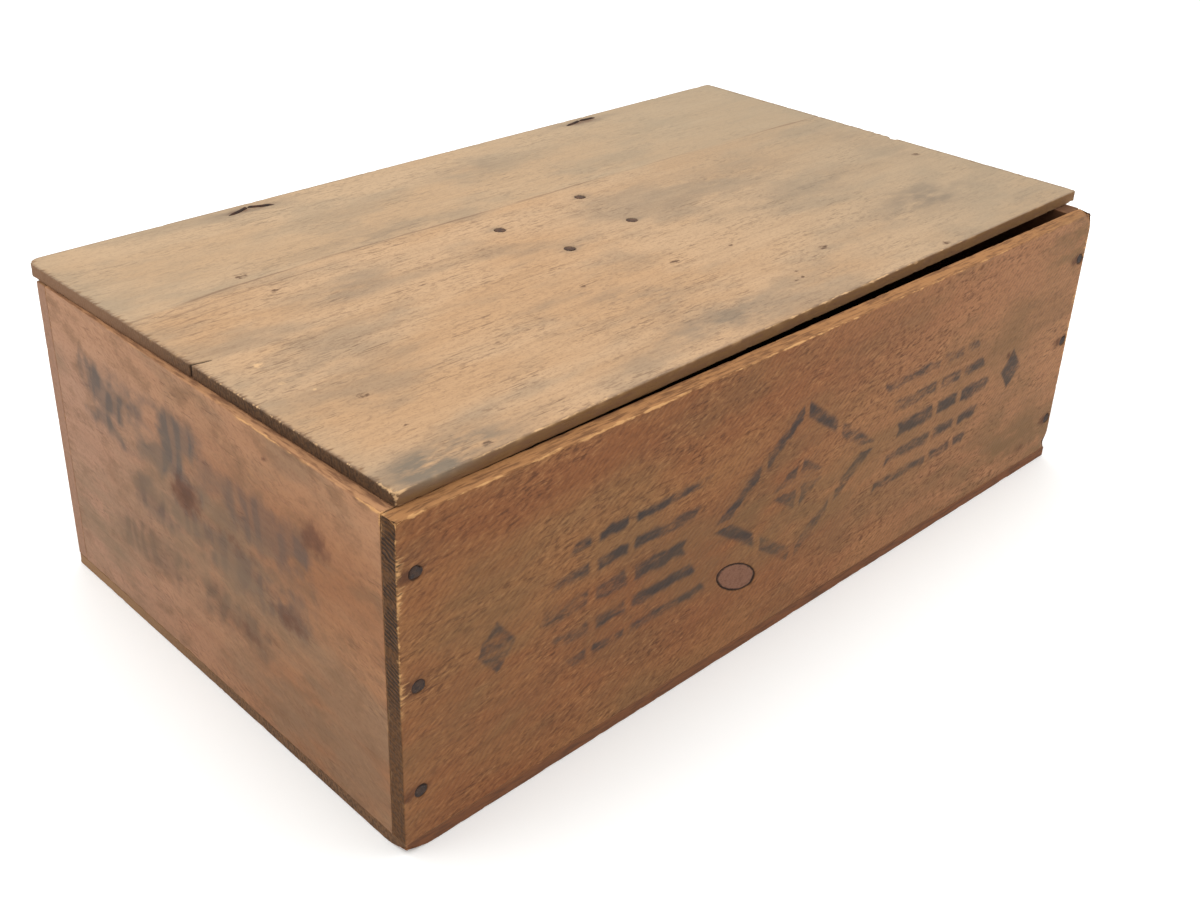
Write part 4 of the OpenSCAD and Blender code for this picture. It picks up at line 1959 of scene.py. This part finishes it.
@dataclass
class Lid:
    """Lid board with four tacks that hold nothing, and its wire hinges."""

    hang: Hang
    tacks: tuple[Pair, ...] = ((-38.4, 21.2), (14.8, 28.3), (-30.4, -11.7), (11.9, -5.7))
    tack_head: float = 5.0
    tack_shank: float = 1.6
    tack_sink: float = 0.3
    tack_short: float = 1.3
    tack_recess: float = 0.46
    tack_stretch: float = 1.08
    tack_seed: int = 700
    hinge_u: Pair = (-101.0, 94.0)
    hinge_turns: tuple[Pair, Pair] = ((17.0, 18.0), (10.0, 3.0))

    def board(self) -> LidBoard:
        """Lid board with its marks.

        Returns:
            The board, not yet built.
        """
        board = LidBoard(
            node="lid_board", body=Body.LID, slot="lid_pine", finish=LID_PINE, steps=(2.2, 2.1, 0.9), seed=71,
            inner=(0, 0, -1), ragged=1.0, hang=self.hang,
        )
        low, high = board.size()
        left, front, right, top = *low[:2], high[0], high[2]
        heads = self.tack_places(board)
        board.recesses = tuple(Recess(place, 2, self.tack_head * self.tack_recess) for place in heads)
        board.marks = tuple(Mark(a, r.place[a], 2.8, 0.6) for r in board.recesses for a in (0, 1))
        board.marks += (Mark(1, board.split_start[1] - 1, 4.5, 0.42), Mark(0, left, 8.0, 0.8))
        board.rubs = spots(
            2, top,
            (right, front, 6, 4, 4, 0.7), (left, front, 7, 7, 4, 1.5), (left + 60, front, 55, 2.5, 2.5, 0.7),
            (20, front, 70, 2.5, 2.5, 0.75), (left, front + 60, 2.5, 50, 2.5, 0.5),
        )
        smudges = spots(
            2, top,
            (-174, -98, 15, 9, 2.5, 1.7), (-158, -95, 20, 8, 2.5, 1.0), (138, -57, 28, 14, 2.5, 0.85),
            (110.6, -63.6, 26, 7, 2.5, 0.60), (-31, -85, 36, 10, 2.5, 0.75), (-33, -54.5, 14, 7, 2.5, 0.55),
            (-46.7, -44.7, 9, 5, 2.5, 0.65), (-115, 21, 26, 9, 2.5, 0.50), (-86, 57.5, 36, 6, 2.5, 0.50),
            (2, 98, 22, 8, 2.5, 0.40), (75, 14, 60, 22, 2.5, 0.35), (108, -15, 50, 16, 2.5, 0.35),
            (183, 5, 14, 30, 2.5, 0.35), (-165, -24, 22, 10, 2.5, 0.45),
        )
        halos = self.hang.placed(np.array([(u, -2.0, top) for u in self.hinge_u]))
        tacks = self.hang.placed(np.array(heads))
        rust = [Blot(tuple(place), (22, 4, 2.5), 0.85) for place in halos]
        rust += [Blot(tuple(place), (5.5, 3.5, 2.5), 0.8) for place in tacks]
        board.stains = (*smudges, *rust)
        board.knots = tuple(Blot(tuple(place), (14, 2.4, 2.5), 0.5) for place in halos)
        return board

    def tack_places(self, board: LidBoard) -> list[Triple]:
        """Places of the tacks on top of the lid along its own axes, counted from its middle.

        Args:
            board: The lid board.

        Returns:
            The places.
        """
        low, high = board.size()
        middle = (low + high) / 2
        return [(float(middle[0] + u), float(middle[1] + v), float(high[2])) for u, v in self.tacks]

    def build(self) -> None:
        """Makes the board, the tacks and both hinges."""
        board = self.board()
        board.build()
        low, high = board.size()
        lying = self.hang.placed(np.array(self.tack_places(board))) - np.array([0, 0, self.tack_sink])
        heads = tuple(tuple(float(c) for c in place) for place in lying)
        length = float(high[2] - low[2]) - self.tack_short
        row = NailRow(
            "lid_tacks", Body.LID, heads, (0, 0, -1), self.tack_head, self.tack_shank, length,
            self.tack_seed, self.tack_stretch,
        )
        row.build(TACK_IRON)
        for side, turns in zip(("left", "right"), self.hinge_turns):
            hinge = Hinge(side, self.hang, *turns)
            hinge.eye(HINGE_IRON)
            hinge.staple(HINGE_IRON)


@dataclass
class Studio:
    """Pale floor, soft lights and a camera at the photograph's angle."""

    eye: Triple = (-393.4, -381.9, 344.7)
    heading: float = 45.51
    dip: float = 27.98
    roll: float = 2.47
    focal_px: float = 1420.8
    centre_px: Pair = (600.0, 400.0)
    clip: Pair = (0.01, 100.0)
    floor_half: float = 9000.0
    floor_lines: int = 9
    sky: Tint = (1.0, 0.99, 0.97)
    sky_strength: float = 0.85

    def camera(self) -> None:
        """Adds the camera, which looks along the heading and dip, rolled about that line and shifted."""
        heading, dip, roll = (math.radians(a) for a in (self.heading, self.dip, self.roll))
        ahead = Vector((math.sin(heading) * math.cos(dip), math.cos(heading) * math.cos(dip), -math.sin(dip)))
        level = ahead.cross(Vector((0, 0, 1))).normalized()
        above = level.cross(ahead)
        right = math.cos(roll) * level + math.sin(roll) * above
        up = math.cos(roll) * above - math.sin(roll) * level
        data = bpy.data.cameras.new("camera")
        data.sensor_fit = "HORIZONTAL"
        data.sensor_width = SENSOR_MM
        data.lens = self.focal_px * SENSOR_MM / IMAGE_WIDTH
        data.shift_x = (IMAGE_WIDTH / 2 - self.centre_px[0]) / IMAGE_WIDTH
        data.shift_y = (self.centre_px[1] - IMAGE_HEIGHT / 2) / IMAGE_WIDTH
        data.clip_start, data.clip_end = self.clip
        camera = bpy.data.objects.new("camera", data)
        turned = Matrix((right, up, -ahead)).transposed().to_4x4()
        camera.matrix_world = Matrix.Translation(Vector(self.eye) * MM) @ turned
        bpy.context.scene.collection.objects.link(camera)
        bpy.context.scene.camera = camera

    def lamp(self, name: str, place: Triple, aim: Triple, size: float, power: float) -> None:
        """Adds one square soft light.

        Args:
            name: Its name.
            place: Where it hangs, in metres.
            aim: What it points at, in metres.
            size: Length of its sides, in metres.
            power: Its power in watts.
        """
        data = bpy.data.lights.new(name, "AREA")
        data.size = size
        data.energy = power
        lamp = bpy.data.objects.new(name, data)
        lamp.location = place
        lamp.rotation_mode = "QUATERNION"
        lamp.rotation_quaternion = (Vector(aim) - Vector(place)).to_track_quat("-Z", "Y")
        bpy.context.scene.collection.objects.link(lamp)

    def floor(self) -> None:
        """Adds the floor: a level grid that is flat everywhere."""
        line = np.linspace(-self.floor_half, self.floor_half, self.floor_lines)
        x, y = np.meshgrid(line, line, indexing="ij")
        points = np.stack([x, y, np.zeros_like(x)], axis=-1).reshape(-1, 3)
        number = np.arange(len(points)).reshape(x.shape)
        floor = make_mesh("floor", points, grid_quads(number), NO_TRIANGLES, {})
        floor.data.materials.append(FloorFinish().material())

    def build(self) -> None:
        """Makes the floor, the light and the camera."""
        self.floor()
        world = bpy.data.worlds.new("studio")
        world.use_nodes = True
        background = world.node_tree.nodes["Background"]
        background.inputs["Color"].default_value = (*self.sky, 1.0)
        background.inputs["Strength"].default_value = self.sky_strength
        bpy.context.scene.world = world
        self.lamp("softbox_above", (0.0, 0.25, 1.5), (0, 0, 0.1), 1.6, 15)
        self.lamp("softbox_left", (-1.5, 0.7, 0.8), (0, 0, 0.06), 0.9, 4)
        self.lamp("softbox_right", (0.9, -1.0, 0.6), (0.12, 0, 0.06), 0.8, 4)
        self.camera()
        bpy.context.scene.view_settings.view_transform = "Standard"


def main() -> None:
    """Builds the box around its frame."""
    logging.basicConfig(level=logging.INFO, format="%(name)s: %(message)s")
    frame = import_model()
    Studio().build()
    Case().build()
    Lid(Hang.on(frame["joints"][0])).build()


if __name__ == "__main__":
    main()
